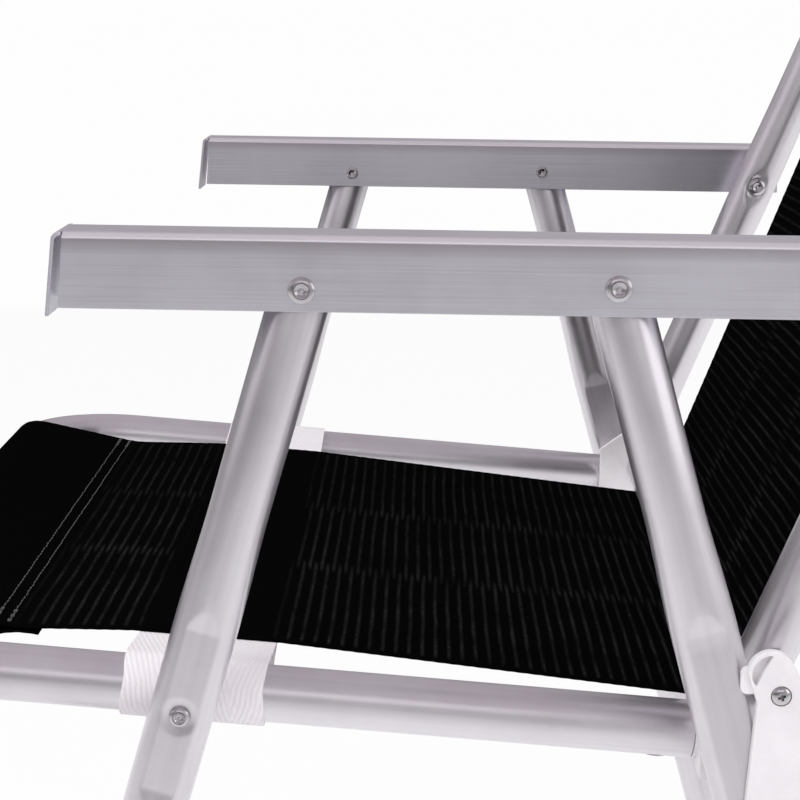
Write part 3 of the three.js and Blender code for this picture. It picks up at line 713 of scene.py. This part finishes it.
# head and tail in tenths of their radius, with their height in millimetres
rivetShape = {
    "head": [
        (0.0, 0.95), (0.6, 0.85), (1.2, 0.55), (2.2, 0.55), (3.8, 0.85), (4.8, 1.65), (5.3, 1.72),
        (5.6, 1.50), (5.75, 0.75), (6.2, 0.75), (6.5, 1.20), (8.2, 0.95), (9.6, 0.45), (10.0, 0.10),
    ],
    "tail": [(10.0, 0.0), (10.0, 0.35), (8.6, 0.95), (6.6, 1.10), (5.0, 0.80), (3.6, 0.35), (0.0, 0.25)],
    "skirt": 0.0012, "sink": 0.0003, "shank": 0.003, "tailRadius": 0.0039,
}


def rivetProfile(headFace, tailFace, head):
    r = rivetShape
    out = math.copysign(1, headFace - tailFace)
    crown = [(tenths * head / 10, headFace + out * height / 1000) for tenths, height in r["head"]]
    flare = [(tenths * r["tailRadius"] / 10, tailFace - out * height / 1000) for tenths, height in r["tail"]]
    skirt = [(head, headFace - out * r["sink"]), (r["shank"], headFace - out * r["skirt"])]
    return crown + skirt + [(r["shank"], tailFace)] + flare


pinFaces = {
    "armOut": armPlane + 0.0153, "armIn": armPlane - 0.0153, "armWallIn": armPlane - 0.0132,
    "backIn": framePlane - 0.0115, "backOut": framePlane + 0.0115, "legOut": armPlane + 0.0106,
    "legIn": armPlane - 0.0110, "railIn": framePlane - 0.0130, "strapOut": framePlane + 0.0149,
    "bracketIn": 0.2187, "screwSeat": 0.2789,
}
rivetPlaces = {
    "arm_front_rivet": (frontPivot, "armOut", "armIn", 0.0055),
    "arm_rear_rivet": (rearPivot, "armOut", "armIn", 0.0055),
    "arm_back_rivet": (backPivot, "backIn", "armWallIn", 0.0055),
    "seat_pivot_rivet": (seatPivot, "legOut", "railIn", 0.0044),
}
bodyOf = {node: body for body, nodes in frame["record"]["behaviour"]["bodies"].items() for node in nodes}

for side, sign in sides.items():
    for rivet, (spot, headFace, tailFace, head) in rivetPlaces.items():
        node = rivet + "_" + side
        profile = rivetProfile(pinFaces[headFace], pinFaces[tailFace], head)
        settle(turnedPiece(node + "_turned", profile, spot, sign, 0), rivetMetal, "rivet", bodyOf[node], node)

ringShape = {"outer": 0.008, "bore": 0.0033}
ringPlaces = {
    "arm_back_washer": (backPivot, "backOut", "armIn"),
    "seat_pivot_spacer": (seatPivot, "strapOut", "legIn"),
}
for side, sign in sides.items():
    for ring, (spot, inner, outer) in ringPlaces.items():
        node = ring + "_" + side
        low = pinFaces[inner]
        high = pinFaces[outer]
        bore = ringShape["bore"]
        rim = ringShape["outer"]
        profile = [(bore, low), (rim, low), (rim, high), (bore, high), (bore, low)]
        washer = turnedPiece(node + "_turned", profile, spot, sign)
        settle(washer, whitePlastic, "plastic", bodyOf[node], node)

screwShape = {
    "head": 0.0042, "rim": 0.0006, "height": 0.0026, "shank": 0.003, "tail": 0.2135, "slot": 0.0052,
    "slotWide": 0.0014, "slotDeep": 0.0036, "slotTurn": 0.35, "slotTaper": (1, 0.35, 0.6), "domeSteps": 9,
}


def crossScrew(node, sign):
    s = screwShape
    seat = pinFaces["screwSeat"]
    profile = [(0, s["tail"]), (s["shank"], s["tail"]), (s["shank"], seat), (s["head"], seat)]
    for step in range(s["domeSteps"] + 1):
        turn = math.pi / 2 * (1 - step / s["domeSteps"])
        rise = s["rim"] + (s["height"] - s["rim"]) * math.cos(turn)
        profile.append((s["head"] * math.sin(turn), seat + rise))
    screw = turnedPiece(node + "_turned", profile, hinge, sign)
    for turn in (s["slotTurn"], s["slotTurn"] + math.pi / 2):
        bm = bmesh.new()
        bmesh.ops.create_cube(bm, size=1)
        bmesh.ops.scale(bm, vec=(2 * s["slotDeep"], s["slot"], s["slotWide"]), verts=bm.verts)
        floor = [v for v in bm.verts if v.co.x * sign < 0]
        bmesh.ops.scale(bm, vec=s["slotTaper"], verts=floor)
        bmesh.ops.rotate(bm, matrix=Matrix.Rotation(turn, 3, "X"), verts=bm.verts)
        moveBy(bm, hinge + across * (sign * (seat + s["height"])), bm.verts)
        combine(screw, toObject("slotCutter", bm), "DIFFERENCE")
    return screw


nutShape = {"flats": 0.010, "height": 0.005, "chamfer": 0.0006}


def hexNut(node, sign):
    bm = bmesh.new()
    corner = nutShape["flats"] / math.sqrt(3)
    height = nutShape["height"]
    bmesh.ops.create_cone(bm, cap_ends=True, segments=6, radius1=corner, radius2=corner, depth=height)
    rounded(bm, list(bm.edges), nutShape["chamfer"], 3)
    bmesh.ops.rotate(bm, matrix=quarterTurn, verts=bm.verts)
    middle = sign * (pinFaces["bracketIn"] - height / 2)
    moveBy(bm, hinge + across * middle, bm.verts)
    return toObject(node + "_hex", bm, sharp=30)


railRivet = {
    "head": 0.0045, "crown": 0.003, "height": 0.0006, "rim": 0.00018, "shank": 0.0024, "inset": 0.015,
    "proud": 0.0002, "tail": -0.0003,
}


def railRivetPiece(node, sign):
    r = railRivet
    face = -tube["radius"] - r["proud"]
    profile = [
        (0, face - r["height"]), (r["crown"], face - r["height"]), (r["head"], face - r["rim"]),
        (r["head"], face), (r["shank"], face), (r["shank"], r["tail"]), (0, r["tail"]),
    ]
    piece = turnedPiece(node + "_turned", profile, Vector(), 1)
    for vert in piece.data.vertices:
        if vert.co.x < face + r["proud"] / 2:
            vert.co.x += tube["radius"] - math.sqrt(tube["radius"] ** 2 - vert.co.y ** 2)
    upright = basis(railUp, across, railUp.cross(across))
    spot = railEnd + railForward * r["inset"] + across * (sign * framePlane)
    piece.data.transform(Matrix.Translation(spot) @ upright)
    return piece


fasteners = {
    "hinge_screw_": (crossScrew, steelMetal, "steel"), "hinge_nut_": (hexNut, steelMetal, "steel"),
    "rail_rivet_": (railRivetPiece, rivetMetal, "rivet"),
}
for side, sign in sides.items():
    for fastener, (maker, material, slot) in fasteners.items():
        node = fastener + side
        settle(maker(node, sign), material, slot, bodyOf[node], node)
print("fasteners made")


# mouldings drawn as outlines in the side view
def drawOutline(bm, origin, moves, steps=12):
    first = None
    last = None
    for move in moves:
        if move[0] == "arc":
            centre = origin + Vector((0, move[1], move[2]))
            last = newVerts(spun(bm, [last], centre, across, math.radians(move[3]), steps))[0]
            continue
        vert = bm.verts.new(origin + Vector((0, move[0], move[1])))
        if last is not None:
            bm.edges.new((last, vert))
        last = vert
        first = first or vert
    bm.edges.new((last, first))
    return bmesh.ops.contextual_create(bm, geom=bm.edges)["faces"]


def slab(origin, moves, inner, outer, sign, soft=0.0005, rounds=None, steps=12):
    bm = bmesh.new()
    drawOutline(bm, origin, moves, steps)
    for spot, radius in (rounds or {}).items():
        target = origin + Vector((0, spot[0], spot[1]))
        corner = [v for v in bm.verts if (v.co - target).length < touching]
        rounded(bm, corner, radius, segments=8, affect="VERTICES")
    moveBy(bm, across * inner, bm.verts)
    made = bmesh.ops.extrude_face_region(bm, geom=bm.faces[:])["geom"]
    moveBy(bm, across * (outer - inner), newVerts(made))
    return softSolid(bm, sign, soft)


def softSolid(bm, sign, soft):
    bmesh.ops.scale(bm, vec=(sign, 1, 1), verts=bm.verts)
    roundRidges(bm, angle=35, offset=soft)
    return toObject("moulding", bm)


def roundBar(radius, start, end, sign, soft=0.0005, segments=48):
    bm = bmesh.new()
    run = end - start
    bmesh.ops.create_cone(bm, cap_ends=True, segments=segments, radius1=radius, radius2=radius,
                          depth=run.length)
    turn = run.to_track_quat("Z", "Y").to_matrix().to_4x4()
    bmesh.ops.transform(bm, matrix=Matrix.Translation((start + end) / 2) @ turn, verts=bm.verts)
    return softSolid(bm, sign, soft)


bracketShape = {
    "inner": 0.219, "plate": 0.003, "pocket": 0.2483, "guideIn": 0.2544, "guideOut": 0.2756, "outer": 0.2786,
    "face": 0.280, "boss": 0.0088, "half": 0.010, "top": 0.0195, "bottom": 0.055, "blockTop": 0.020,
    "blockRear": 0.015, "blockGap": 0.0006, "cheekAhead": 0.031, "cheekDrop": 0.012, "lipReach": 0.007,
    "lipHeight": 0.012, "lipRound": 0.003, "archAhead": 0.0045, "shoulder": 0.003, "stay": 0.005,
    "rim": 0.0019, "crescentFrom": 88, "crescentTo": 222, "crescentDepth": 0.0034, "plug": 0.030,
    "barPlug": 0.016, "screwSeat": 0.00445, "screwHole": 0.0033, "lap": 0.00002, "fit": 0.0003,
    "bossInset": 0.0002, "lipInset": 0.00005, "through": 0.01, "sunk": 0.9, "fine": 24,
    "soft": {"middle": 0.0004, "boss": 0.0003, "stay": 0.0003, "tongue": 0.0008, "lip": 0.0006},
}
archSpot = Vector((-bracketShape["archAhead"], bracketShape["top"] - bracketShape["half"]))


def tongueMoves():
    b = bracketShape
    centre = archSpot
    shoulder = Vector((b["half"] + b["plate"], -b["shoulder"]))
    radius = b["half"]
    reach = shoulder - centre
    start = math.atan2(reach.y, reach.x) + math.acos(radius / reach.length)
    return [
        (-b["half"] - b["plate"], -b["bottom"]), (shoulder.x, -b["bottom"]), tuple(shoulder),
        (centre.x + radius * math.cos(start), centre.y + radius * math.sin(start)),
        ("arc", centre.x, centre.y, 180 - math.degrees(start)), (-b["half"], -b["shoulder"]),
    ]


def crescentMoves():
    b = bracketShape
    start = math.radians(b["crescentFrom"])
    spot = archSpot + Vector((math.cos(start), math.sin(start))) * (b["half"] - b["rim"])
    return [tuple(spot), ("arc", archSpot.x, archSpot.y, b["crescentTo"] - b["crescentFrom"])]


def cheekMoves(keel):
    b = bracketShape
    front = Vector((-b["cheekAhead"], -b["cheekDrop"]))
    touch = math.atan2(front.y, front.x) % (2 * math.pi) - math.acos(b["boss"] / front.length)
    return [
        tuple(front), (b["boss"] * math.cos(touch), b["boss"] * math.sin(touch)),
        ("arc", 0, 0, -math.degrees(touch)), (b["blockRear"], -b["bottom"]), (front.x, -keel),
    ]


def atHinge(x):
    return hinge + across * x


def hingeBracket(side):
    b = bracketShape
    sign = sides[side]
    radius = tube["radius"]
    drop = hinge.z - railEnd.z
    blockFront = railEnd.y - hinge.y + b["blockGap"] + radius * math.sin(slope)
    keel = drop + radius + b["plate"]
    block = [
        (blockFront, -b["blockTop"]), (b["blockRear"], -b["blockTop"]), (b["blockRear"], -b["bottom"]),
        (blockFront, -keel),
    ]
    cheek = cheekMoves(keel)
    middle = [
        (-b["blockRear"], -b["bottom"]), (b["blockRear"], -b["bottom"]), (b["boss"], 0), ("arc", 0, 0, 180),
    ]
    stay = [(0, 0), (b["stay"], 0), (b["stay"], b["top"] - b["half"]), (0, b["top"] - b["half"])]
    lipFront = -b["half"] - b["lipReach"]
    lip = [(0, 0), (0, b["lipHeight"]), (lipFront, b["lipHeight"]), (lipFront, 0)]
    lipRounds = {(lipFront, b["lipHeight"]): b["lipRound"], (lipFront, 0): b["lipRound"]}
    piece = slab(hinge, block, b["inner"], b["guideIn"], sign)
    piece.name = "hinge_bracket_" + side + "_moulding"
    near = framePlane * across
    lap = b["lap"]
    fit = b["fit"]
    soft = b["soft"]
    fine = b["fine"]
    bossIn = atHinge(b["pocket"] + b["bossInset"])
    bossOut = atHinge(b["outer"] - b["bossInset"])
    lipIn = b["guideOut"] + b["lipInset"]
    lipOut = b["outer"] - b["lipInset"]
    plugRun = railForward * b["plug"]
    barIn = rearBarSpot + across * (b["inner"] - b["barPlug"])
    barOut = rearBarSpot + across * (b["inner"] + b["plate"] * b["sunk"])
    others = [
        slab(hinge, cheek, b["inner"] - lap, b["inner"] + b["plate"], sign),
        slab(hinge, middle, b["pocket"], b["guideIn"] + lap, sign, soft["middle"], steps=fine),
        roundBar(b["boss"], bossIn, bossOut, sign, soft["boss"]),
        slab(hinge, stay, b["pocket"] + fit, b["outer"] - fit, sign, soft["stay"]),
        slab(hinge, tongueMoves(), b["guideOut"], b["face"], sign, soft["tongue"], steps=fine),
        slab(hinge, lip, lipIn, lipOut, sign, soft["lip"], lipRounds),
        roundBar(radius, railEnd - railForward * fit + near, railEnd - plugRun + near, sign),
        roundBar(radius - tube["wall"] - fit, railEnd + plugRun + near,
                 railEnd - plugRun * b["sunk"] + near, sign),
        roundBar(rearBar["radius"] - tube["wall"] - fit, barIn, barOut, sign),
    ]
    for other in others:
        combine(piece, other, "UNION")
    beyond = b["face"] + b["through"]
    cutters = [
        slab(hinge, crescentMoves(), b["face"] - b["crescentDepth"], beyond, sign, 0, steps=fine),
        roundBar(b["screwSeat"], atHinge(b["outer"]), atHinge(beyond), sign, 0),
        roundBar(b["screwHole"], atHinge(b["inner"] - b["through"]), atHinge(beyond), sign, 0, fine),
    ]
    for cutter in cutters:
        combine(piece, cutter, "DIFFERENCE")
    return evenNormals(piece)


for side in sides:
    node = "hinge_bracket_" + side
    settle(hingeBracket(side), whitePlastic, "plastic", bodyOf[node], node)

footShape = {
    "wall": 0.003, "gap": 0.0003, "width": 0.028, "mouth": 55, "flare": 22.5, "half": 0.018, "soft": 0.0007,
}


def clipFoot(node, sign):
    f = footShape
    spot = Vector((0, middleOf(node).y, layout["floorBar"]))
    inner = tube["radius"] + f["gap"]
    outer = inner + f["wall"]
    mouth = math.radians(f["mouth"])
    flare = math.radians(f["flare"])
    moves = [
        (-f["width"] / 2, -spot.z), (f["width"] / 2, -spot.z),
        (outer * math.cos(flare), -outer * math.sin(flare)),
        ("arc", 0, 0, f["flare"] + f["mouth"]), (inner * math.cos(mouth), inner * math.sin(mouth)),
        ("arc", 0, 0, -180 - 2 * f["mouth"]), (-outer * math.cos(mouth), outer * math.sin(mouth)),
        ("arc", 0, 0, f["flare"] + f["mouth"]),
    ]
    middle = abs(middleOf(node).x)
    foot = slab(spot, moves, middle - f["half"], middle + f["half"], sign, f["soft"], steps=24)
    foot.name = node + "_clip"
    return evenNormals(foot)


for side, sign in sides.items():
    for foot in ("front_foot_", "rear_foot_"):
        settle(clipFoot(foot + side, sign), whitePlastic, "plastic", bodyOf[foot + side], foot + side)
print("mouldings made")


# cloth and webbing: a line wrapped round the bars, drawn out to a sheet
def tangentAngle(centre, radius, point, turn):
    reach = point - centre
    return math.atan2(reach.y, reach.x) + turn * math.acos(radius / reach.length)


fewestSteps = 6


def drawPath(bm, moves, lift, axis, row):
    last = None
    spots = []
    for i, move in enumerate(moves):
        if not isinstance(move, dict):
            spots.append((move, None))
            continue
        begin = tangentAngle(move["centre"], move["radius"], moves[i - 1], -move["turn"])
        finish = tangentAngle(move["centre"], move["radius"], moves[i + 1], move["turn"])
        sweep = (finish - begin) % (2 * math.pi)
        if move["turn"] > 0:
            sweep -= 2 * math.pi
        reach = Vector((math.cos(begin), math.sin(begin))) * move["radius"]
        spots.append((move["centre"] + reach, (move["centre"], move["radius"], sweep)))
    for spot, turn in spots:
        target = lift(spot)
        if last is None:
            last = bm.verts.new(target)
        count = max(1, round((target - last.co).length / row))
        run = (target - last.co) / count
        for step in range(count if run.length else 0):
            last = bmesh.ops.extrude_vert_indiv(bm, verts=[last])["verts"][0]
            last.co += run
        if turn:
            centre, radius, sweep = turn
            steps = max(fewestSteps, math.ceil(abs(sweep) * radius / row))
            last = newVerts(spun(bm, [last], lift(centre), axis, sweep, steps))[0]
    bm.verts.ensure_lookup_table()
    walk = [bm.verts[0]]
    came = None
    while True:
        onward = [e for e in walk[-1].link_edges if e is not came]
        if not onward:
            return walk
        came = onward[0]
        walk.append(came.other_vert(walk[-1]))


def smoothWalk(walk, rounds):
    for step in range(rounds):
        fresh = [(a.co + b.co * 2 + c.co) / 4 for a, b, c in zip(walk, walk[1:], walk[2:])]
        for vert, spot in zip(walk[1:-1], fresh):
            vert.co = spot


def sheetFrom(bm, walk, aside, width, columns):
    along = bm.verts.layers.float["along"]
    lifted = bm.verts.layers.float_vector["lifted"]
    wide = bm.verts.layers.float["wide"]
    length = 0
    for i, vert in enumerate(walk):
        before = walk[max(i - 1, 0)]
        after = walk[min(i + 1, len(walk) - 1)]
        length += (vert.co - before.co).length
        vert[along] = length
        vert[lifted] = aside.cross(after.co - before.co).normalized()
    moveBy(bm, aside * (-width / 2), walk)
    edges = list(bm.edges)
    for column in range(columns):
        verts, edges = drawOut(bm, edges, aside * (width / columns))
        for vert in verts:
            vert[wide] = width * (column + 1) / columns
    bm.normal_update()
    bm.faces.ensure_lookup_table()
    face = bm.faces[0]
    if face.normal.dot(face.verts[0][lifted]) < 0:
        bmesh.ops.reverse_faces(bm, faces=bm.faces)
    mapping = bm.loops.layers.uv.new("clothMap")
    for face in bm.faces:
        for loop in face.loops:
            loop[mapping].uv = (loop.vert[wide], loop.vert[along])
    return length


def clothMesh():
    bm = bmesh.new()
    bm.verts.layers.float.new("along")
    bm.verts.layers.float.new("wide")
    bm.verts.layers.float_vector.new("lifted")
    return bm


def flatSpot(spot):
    return Vector((spot.y, spot.z))


def onLength(spot):
    return Vector((0, spot.x, spot.y))


def onBreadth(spot):
    return Vector((spot.x, 0, spot.y))


cloth = {
    "width": clothFinish["width"], "thick": 0.0012, "sleeve": 0.066, "gap": 0.0008, "barGap": 0.0003,
    "seamRise": 0.0050, "overStrap": 0.0088, "ply": 0.0015, "hem": 0.011, "hemDrop": 0.0009,
    "backSeam": 0.0073, "row": 0.00125, "columns": 40, "rib": 0.00006, "sag": 0.0035, "sagMiddle": 0.05,
    "sagReach": 0.155, "sagBelow": 0.06, "bendSoften": 30,
}
webbing = {
    "width": 0.0635, "thick": 0.0016, "lap": 0.012, "row": 0.0025, "columns": 34, "gap": 0.0003,
    "rearward": 0.0022, "pinch": 0.0013, "pinchReach": 0.006,
}


def onRail(rearward, up):
    return railSpot - railForward * rearward + railUp * up


def sagAt(spot):
    rearward = (spot - railSpot).dot(-railForward)
    length = max(0, 1 - ((rearward - cloth["sagMiddle"]) / cloth["sagReach"]) ** 2)
    breadth = max(0, 1 - (2 * spot.x / cloth["width"]) ** 2)
    return cloth["sag"] * length * breadth


def slingSheet():
    c = cloth
    sleeveRadius = tube["radius"] + c["gap"] + c["thick"] / 2
    seam = c["sleeve"] - layout["railFront"]
    barRadius = rearBar["radius"] + c["barGap"] + c["thick"] / 2
    strapHalf = webbing["width"] / 2
    topBar = hinge + backUp * backLength
    topJoin = hinge + backUp * (backLength - c["sleeve"]) + backRear * c["backSeam"]
    topLap = topJoin - backRear * c["ply"]
    moves = [
        flatSpot(onRail(seam + c["hem"], c["seamRise"] - c["ply"] - c["hemDrop"])),
        flatSpot(onRail(seam, c["seamRise"] - c["ply"])),
        {"centre": flatSpot(frontBarSpot), "radius": sleeveRadius, "turn": 1},
        flatSpot(onRail(seam, c["seamRise"])), flatSpot(onRail(-strapHalf, c["overStrap"])),
        flatSpot(onRail(strapHalf, c["overStrap"])),
        {"centre": flatSpot(rearBarSpot), "radius": barRadius, "turn": -1},
        flatSpot(topJoin), {"centre": flatSpot(topBar), "radius": sleeveRadius, "turn": -1}, flatSpot(topLap),
    ]
    bm = clothMesh()
    walk = drawPath(bm, moves, onLength, across, c["row"])
    smoothWalk(walk, c["bendSoften"])
    topLine = [vert.co.copy() for vert in walk]
    length = sheetFrom(bm, walk, across, c["width"], c["columns"])
    along = bm.verts.layers.float["along"]
    lifted = bm.verts.layers.float_vector["lifted"]
    wide = bm.verts.layers.float["wide"]
    finish = clothFinish
    for vert in bm.verts:
        band = math.floor((vert[wide] - finish["bandStart"]) / finish["band"])
        phase = vert[along] / finish["pitch"] + 0.5 * band
        vert.co += vert[lifted] * (c["rib"] * -math.cos(2 * math.pi * phase))
        if vert.co.z < seatPivot.z + c["sagBelow"]:
            vert.co.z -= sagAt(vert.co)
    sling = thicken(toObject("slingCloth", bm, sharp=80), c["thick"], 0, sharp=70)
    settle(sling, blackCloth, "mesh", None)
    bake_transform(sling, "seat", "back", rearBarSpot + Vector((0, 0.008, -0.008)),
             rearBarSpot + Vector((0, 0.018, 0.010)))
    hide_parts("sling_seat", "sling_back")
    return sling, length, topLine


sling, slingLength, slingLine = slingSheet()


def strapSheet():
    w = webbing
    radius = tube["radius"] + w["gap"] + w["thick"] / 2
    rise = cloth["overStrap"] - cloth["thick"] / 2 - w["gap"] - w["thick"] / 2
    turn = cloth["width"] / 2
    lapEnd = Vector((-turn + w["lap"], rise - w["thick"] - w["gap"]))
    moves = [
        lapEnd, {"centre": Vector((-framePlane, 0)), "radius": radius, "turn": 1}, Vector((-turn, rise)),
        Vector((turn, rise)), {"centre": Vector((framePlane, 0)), "radius": radius, "turn": 1},
        Vector((-lapEnd.x, lapEnd.y)),
    ]
    bm = clothMesh()
    walk = drawPath(bm, moves, onBreadth, Vector((0, -1, 0)), w["row"])
    length = sheetFrom(bm, walk, Vector((0, -1, 0)), w["width"], w["columns"])
    for vert in bm.verts:
        if abs(vert.co.x) > framePlane:
            drawnIn = w["pinch"] * math.exp(-((vert.co.z - w["pinchReach"]) / w["pinchReach"]) ** 2)
            vert.co.y *= 1 - drawnIn * 2 / w["width"]
    onto = basis(across, -railForward, railUp)
    bmesh.ops.transform(bm, matrix=Matrix.Translation(onRail(w["rearward"], 0)) @ onto, verts=bm.verts)
    for vert in bm.verts:
        vert.co.z -= sagAt(vert.co)
    strap = thicken(toObject("seatStrapWebbing", bm, sharp=80), w["thick"], 0, sharp=60)
    settle(strap, whiteWebbing, "webbing", "seat", "seat_strap")
    return strap, length


strap, strapLength = strapSheet()


# rows of stitches, each stitch a small spindle
stitch = {
    "length": 0.0046, "pitch": 0.0050, "radius": 0.00036, "edge": 0.002, "stray": 0.0002, "proud": 0.3,
    "tack": 0.020, "tackShift": 0.0005, "strapInsets": (0.003, 0.009), "strapEdge": 0.004,
    "strapProud": 0.0002,
}


stray = random.Random(7)


def stitchRow(bm, start, end, normal):
    run = end - start
    count = int(run.length / stitch["pitch"])
    aside = normal.cross(run.normalized())
    turn = basis(run.normalized(), aside, normal)
    for i in range(count):
        made = bmesh.ops.create_uvsphere(bm, u_segments=6, v_segments=5, radius=1)["verts"]
        bmesh.ops.rotate(bm, matrix=quarterTurn, verts=made)
        bmesh.ops.scale(bm, vec=(stitch["length"] / 2, stitch["radius"], stitch["radius"]), verts=made)
        spot = start + run * ((i + 0.5) / count) + aside * stray.uniform(-stitch["stray"], stitch["stray"])
        bmesh.ops.transform(bm, matrix=Matrix.Translation(spot) @ turn, verts=made)


seamRows = {"front": (-0.098, -0.091), "top": (0.008, 0.001)}


def seamThreads():
    reach = across * (cloth["width"] / 2 - stitch["edge"])
    proud = cloth["thick"] / 2 + cloth["rib"] + stitch["radius"] * stitch["proud"]
    bm = bmesh.new()
    lowest = cloth["seamRise"] - cloth["ply"] / 2
    upper = [spot for spot in slingLine if (spot - railSpot).dot(railUp) > lowest]
    for rearward in seamRows["front"]:
        nearest = min(upper, key=lambda place: abs((place - railSpot).dot(-railForward) - rearward))
        spot = nearest + railUp * proud
        stitchRow(bm, spot - reach, spot + reach, railUp)
        for sign in sides.values():
            for shift in (stitch["tackShift"], -stitch["tackShift"]):
                tackEnd = spot + reach * sign + railForward * shift
                stitchRow(bm, tackEnd - across * (sign * stitch["tack"]), tackEnd, railUp)
    front = settle(toObject("frontSeamThread", bm), greyThread, "mesh", "seat")
    bm = bmesh.new()
    for shift in seamRows["top"]:
        along = backLength - cloth["sleeve"] + shift
        for outward in (cloth["backSeam"] + proud, cloth["backSeam"] - cloth["ply"] - proud):
            spot = hinge + backUp * along + backRear * outward
            stitchRow(bm, spot - reach, spot + reach, backRear)
    top = settle(toObject("topSeamThread", bm), greyThread, "mesh", "back")
    return front, top


frontThread, topThread = seamThreads()


def strapThreads():
    rise = cloth["overStrap"] - cloth["thick"] / 2 - 2 * webbing["gap"] - 2 * webbing["thick"]
    bm = bmesh.new()
    for sign in sides.values():
        for inset in stitch["strapInsets"]:
            aside = across * (sign * (cloth["width"] / 2 - webbing["lap"] + inset))
            middle = onRail(webbing["rearward"], rise - stitch["strapProud"]) + aside
            run = railForward * (webbing["width"] / 2 - stitch["strapEdge"])
            stitchRow(bm, middle - run, middle + run, -railUp)
    return settle(toObject("strapThread", bm), whiteThread, "webbing", "seat")


strapThreads()
print("cloth, webbing and stitches made")

# floor, light and camera
studio = {
    "floorRadius": 3.4, "farRadius": 24.0, "rim": 5.5, "sides": 96, "white": (0.93, 0.93, 0.93, 1),
    "room": (0.445, 0.402, 0.437, 1),
}
# each floor is white to the camera, and to gloss a ramp of tones over a span of one axis
floorTones = {
    "paleFloor": {"shine": 0.94, "axis": 0, "span": (0.3, 1.7), "tones": (1.0, 0.62)},
    "paleDistance": {"shine": 0.98, "axis": 1, "span": (-8.0, 8.0), "tones": (0.22, 0.51)},
}


def floorMaterial(name):
    f = floorTones[name]
    material, tree, shader = freshMaterial(name)
    tree.nodes.remove(shader)
    rays = addNode(tree, "ShaderNodeLightPath").outputs
    seen = mathOf("MAXIMUM", rays["Is Camera Ray"], rays["Is Transmission Ray"])
    share = mathOf("MULTIPLY_ADD", seen, f["shine"], rays["Is Glossy Ray"])
    place = addNode(tree, "ShaderNodeSeparateXYZ", {0: objectSpot(tree)}).outputs[f["axis"]]
    mirrored = spread(place, *f["span"], *f["tones"])
    tone = addNode(tree, "ShaderNodeMix", {0: seen, 2: mirrored, 3: 1.0}).outputs[0]
    matte = addNode(tree, "ShaderNodeBsdfDiffuse", {"Color": studio["white"]}).outputs[0]
    white = addNode(tree, "ShaderNodeEmission", {"Color": (1, 1, 1, 1), "Strength": tone}).outputs[0]
    mixed = addNode(tree, "ShaderNodeMixShader", {0: share, 1: matte, 2: white}).outputs[0]
    plug(tree.nodes["Material Output"], {"Surface": mixed})
    return material


def floorDisc():
    bm = bmesh.new()
    bmesh.ops.create_circle(bm, cap_ends=True, segments=studio["sides"], radius=studio["floorRadius"])
    return toObject("floorDisc", bm)


def farFloor():
    bm = bmesh.new()
    bmesh.ops.create_circle(bm, segments=studio["sides"], radius=studio["floorRadius"])
    verts, ring = drawOut(bm, bm.edges[:], (0, 0, 0))
    bmesh.ops.scale(bm, vec=[studio["farRadius"] / studio["floorRadius"]] * 2 + [1], verts=verts)
    drawOut(bm, ring, (0, 0, studio["rim"]))
    return toObject("farFloor", bm)


near = floorDisc()
near.data.materials.append(floorMaterial("paleFloor"))
far = farFloor()
far.data.materials.append(floorMaterial("paleDistance"))

world = bpy.data.worlds.new("softRoom")
world.use_nodes = True
world.node_tree.nodes["Background"].inputs["Color"].default_value = studio["room"]
scene.world = world


def softbox(name, spot, target, size, power, mirrored):
    light = bpy.data.lights.new(name, "AREA")
    light.shape = "RECTANGLE"
    light.size = size[0]
    light.size_y = size[1]
    light.energy = power
    lamp = bpy.data.objects.new(name, light)
    scene.collection.objects.link(lamp)
    lamp.location = spot
    lamp.rotation_euler = (Vector(target) - Vector(spot)).to_track_quat("-Z", "Y").to_euler()
    lamp.visible_camera = False
    lamp.visible_glossy = mirrored


# place, target, size, power, and whether the metal mirrors it
lamps = {
    "keyBox": ((0.9, -1.1, 2.6), (0, 0, 0.4), (2.2, 2.2), 51.0, False),
    "fillBox": ((1.6, 1.6, 1.2), (0.2, 0, 0.4), (1.6, 1.6), 12.0, False),
    "viewPanel": ((2.4, 0.0, 1.55), (0.28, 0, 0.5), (2.2, 0.6), 2.9, True),
    "frontPanel": ((0.5, -2.2, 1.3), (0, 0, 0.4), (1.4, 1.4), 2.2, True),
    "rearPanel": ((0.9, 2.2, 1.3), (0, 0, 0.4), (2.2, 1.4), 9.5, True),
}
for name, settings in lamps.items():
    softbox(name, *settings)

viewer = {
    "lens": 86.298, "sensor": 36, "farthest": 200, "offset": (1.04055, 0.04861, 0.115), "yaw": 0.0141,
    "pitch": 0.2060, "tilt": 0.0142,
}


def photoCamera():
    camera = bpy.data.objects.new("photoCamera", bpy.data.cameras.new("photoCamera"))
    scene.collection.objects.link(camera)
    camera.data.lens = viewer["lens"]
    camera.data.sensor_width = viewer["sensor"]
    camera.data.clip_end = viewer["farthest"]
    yaw = viewer["yaw"]
    pitch = viewer["pitch"]
    ahead = -Vector((math.cos(yaw) * math.cos(pitch), math.sin(yaw) * math.cos(pitch), math.sin(pitch)))
    right = ahead.cross(Vector((0, 0, 1))).normalized()
    upward = right.cross(ahead)
    tilt = Matrix.Rotation(viewer["tilt"], 3, "X")
    turn = basis(tilt @ right, tilt @ upward, tilt @ -ahead)
    camera.matrix_world = Matrix.Translation(frontPivot + Vector(viewer["offset"])) @ turn
    scene.camera = camera


photoCamera()
print("stage, light and camera set")
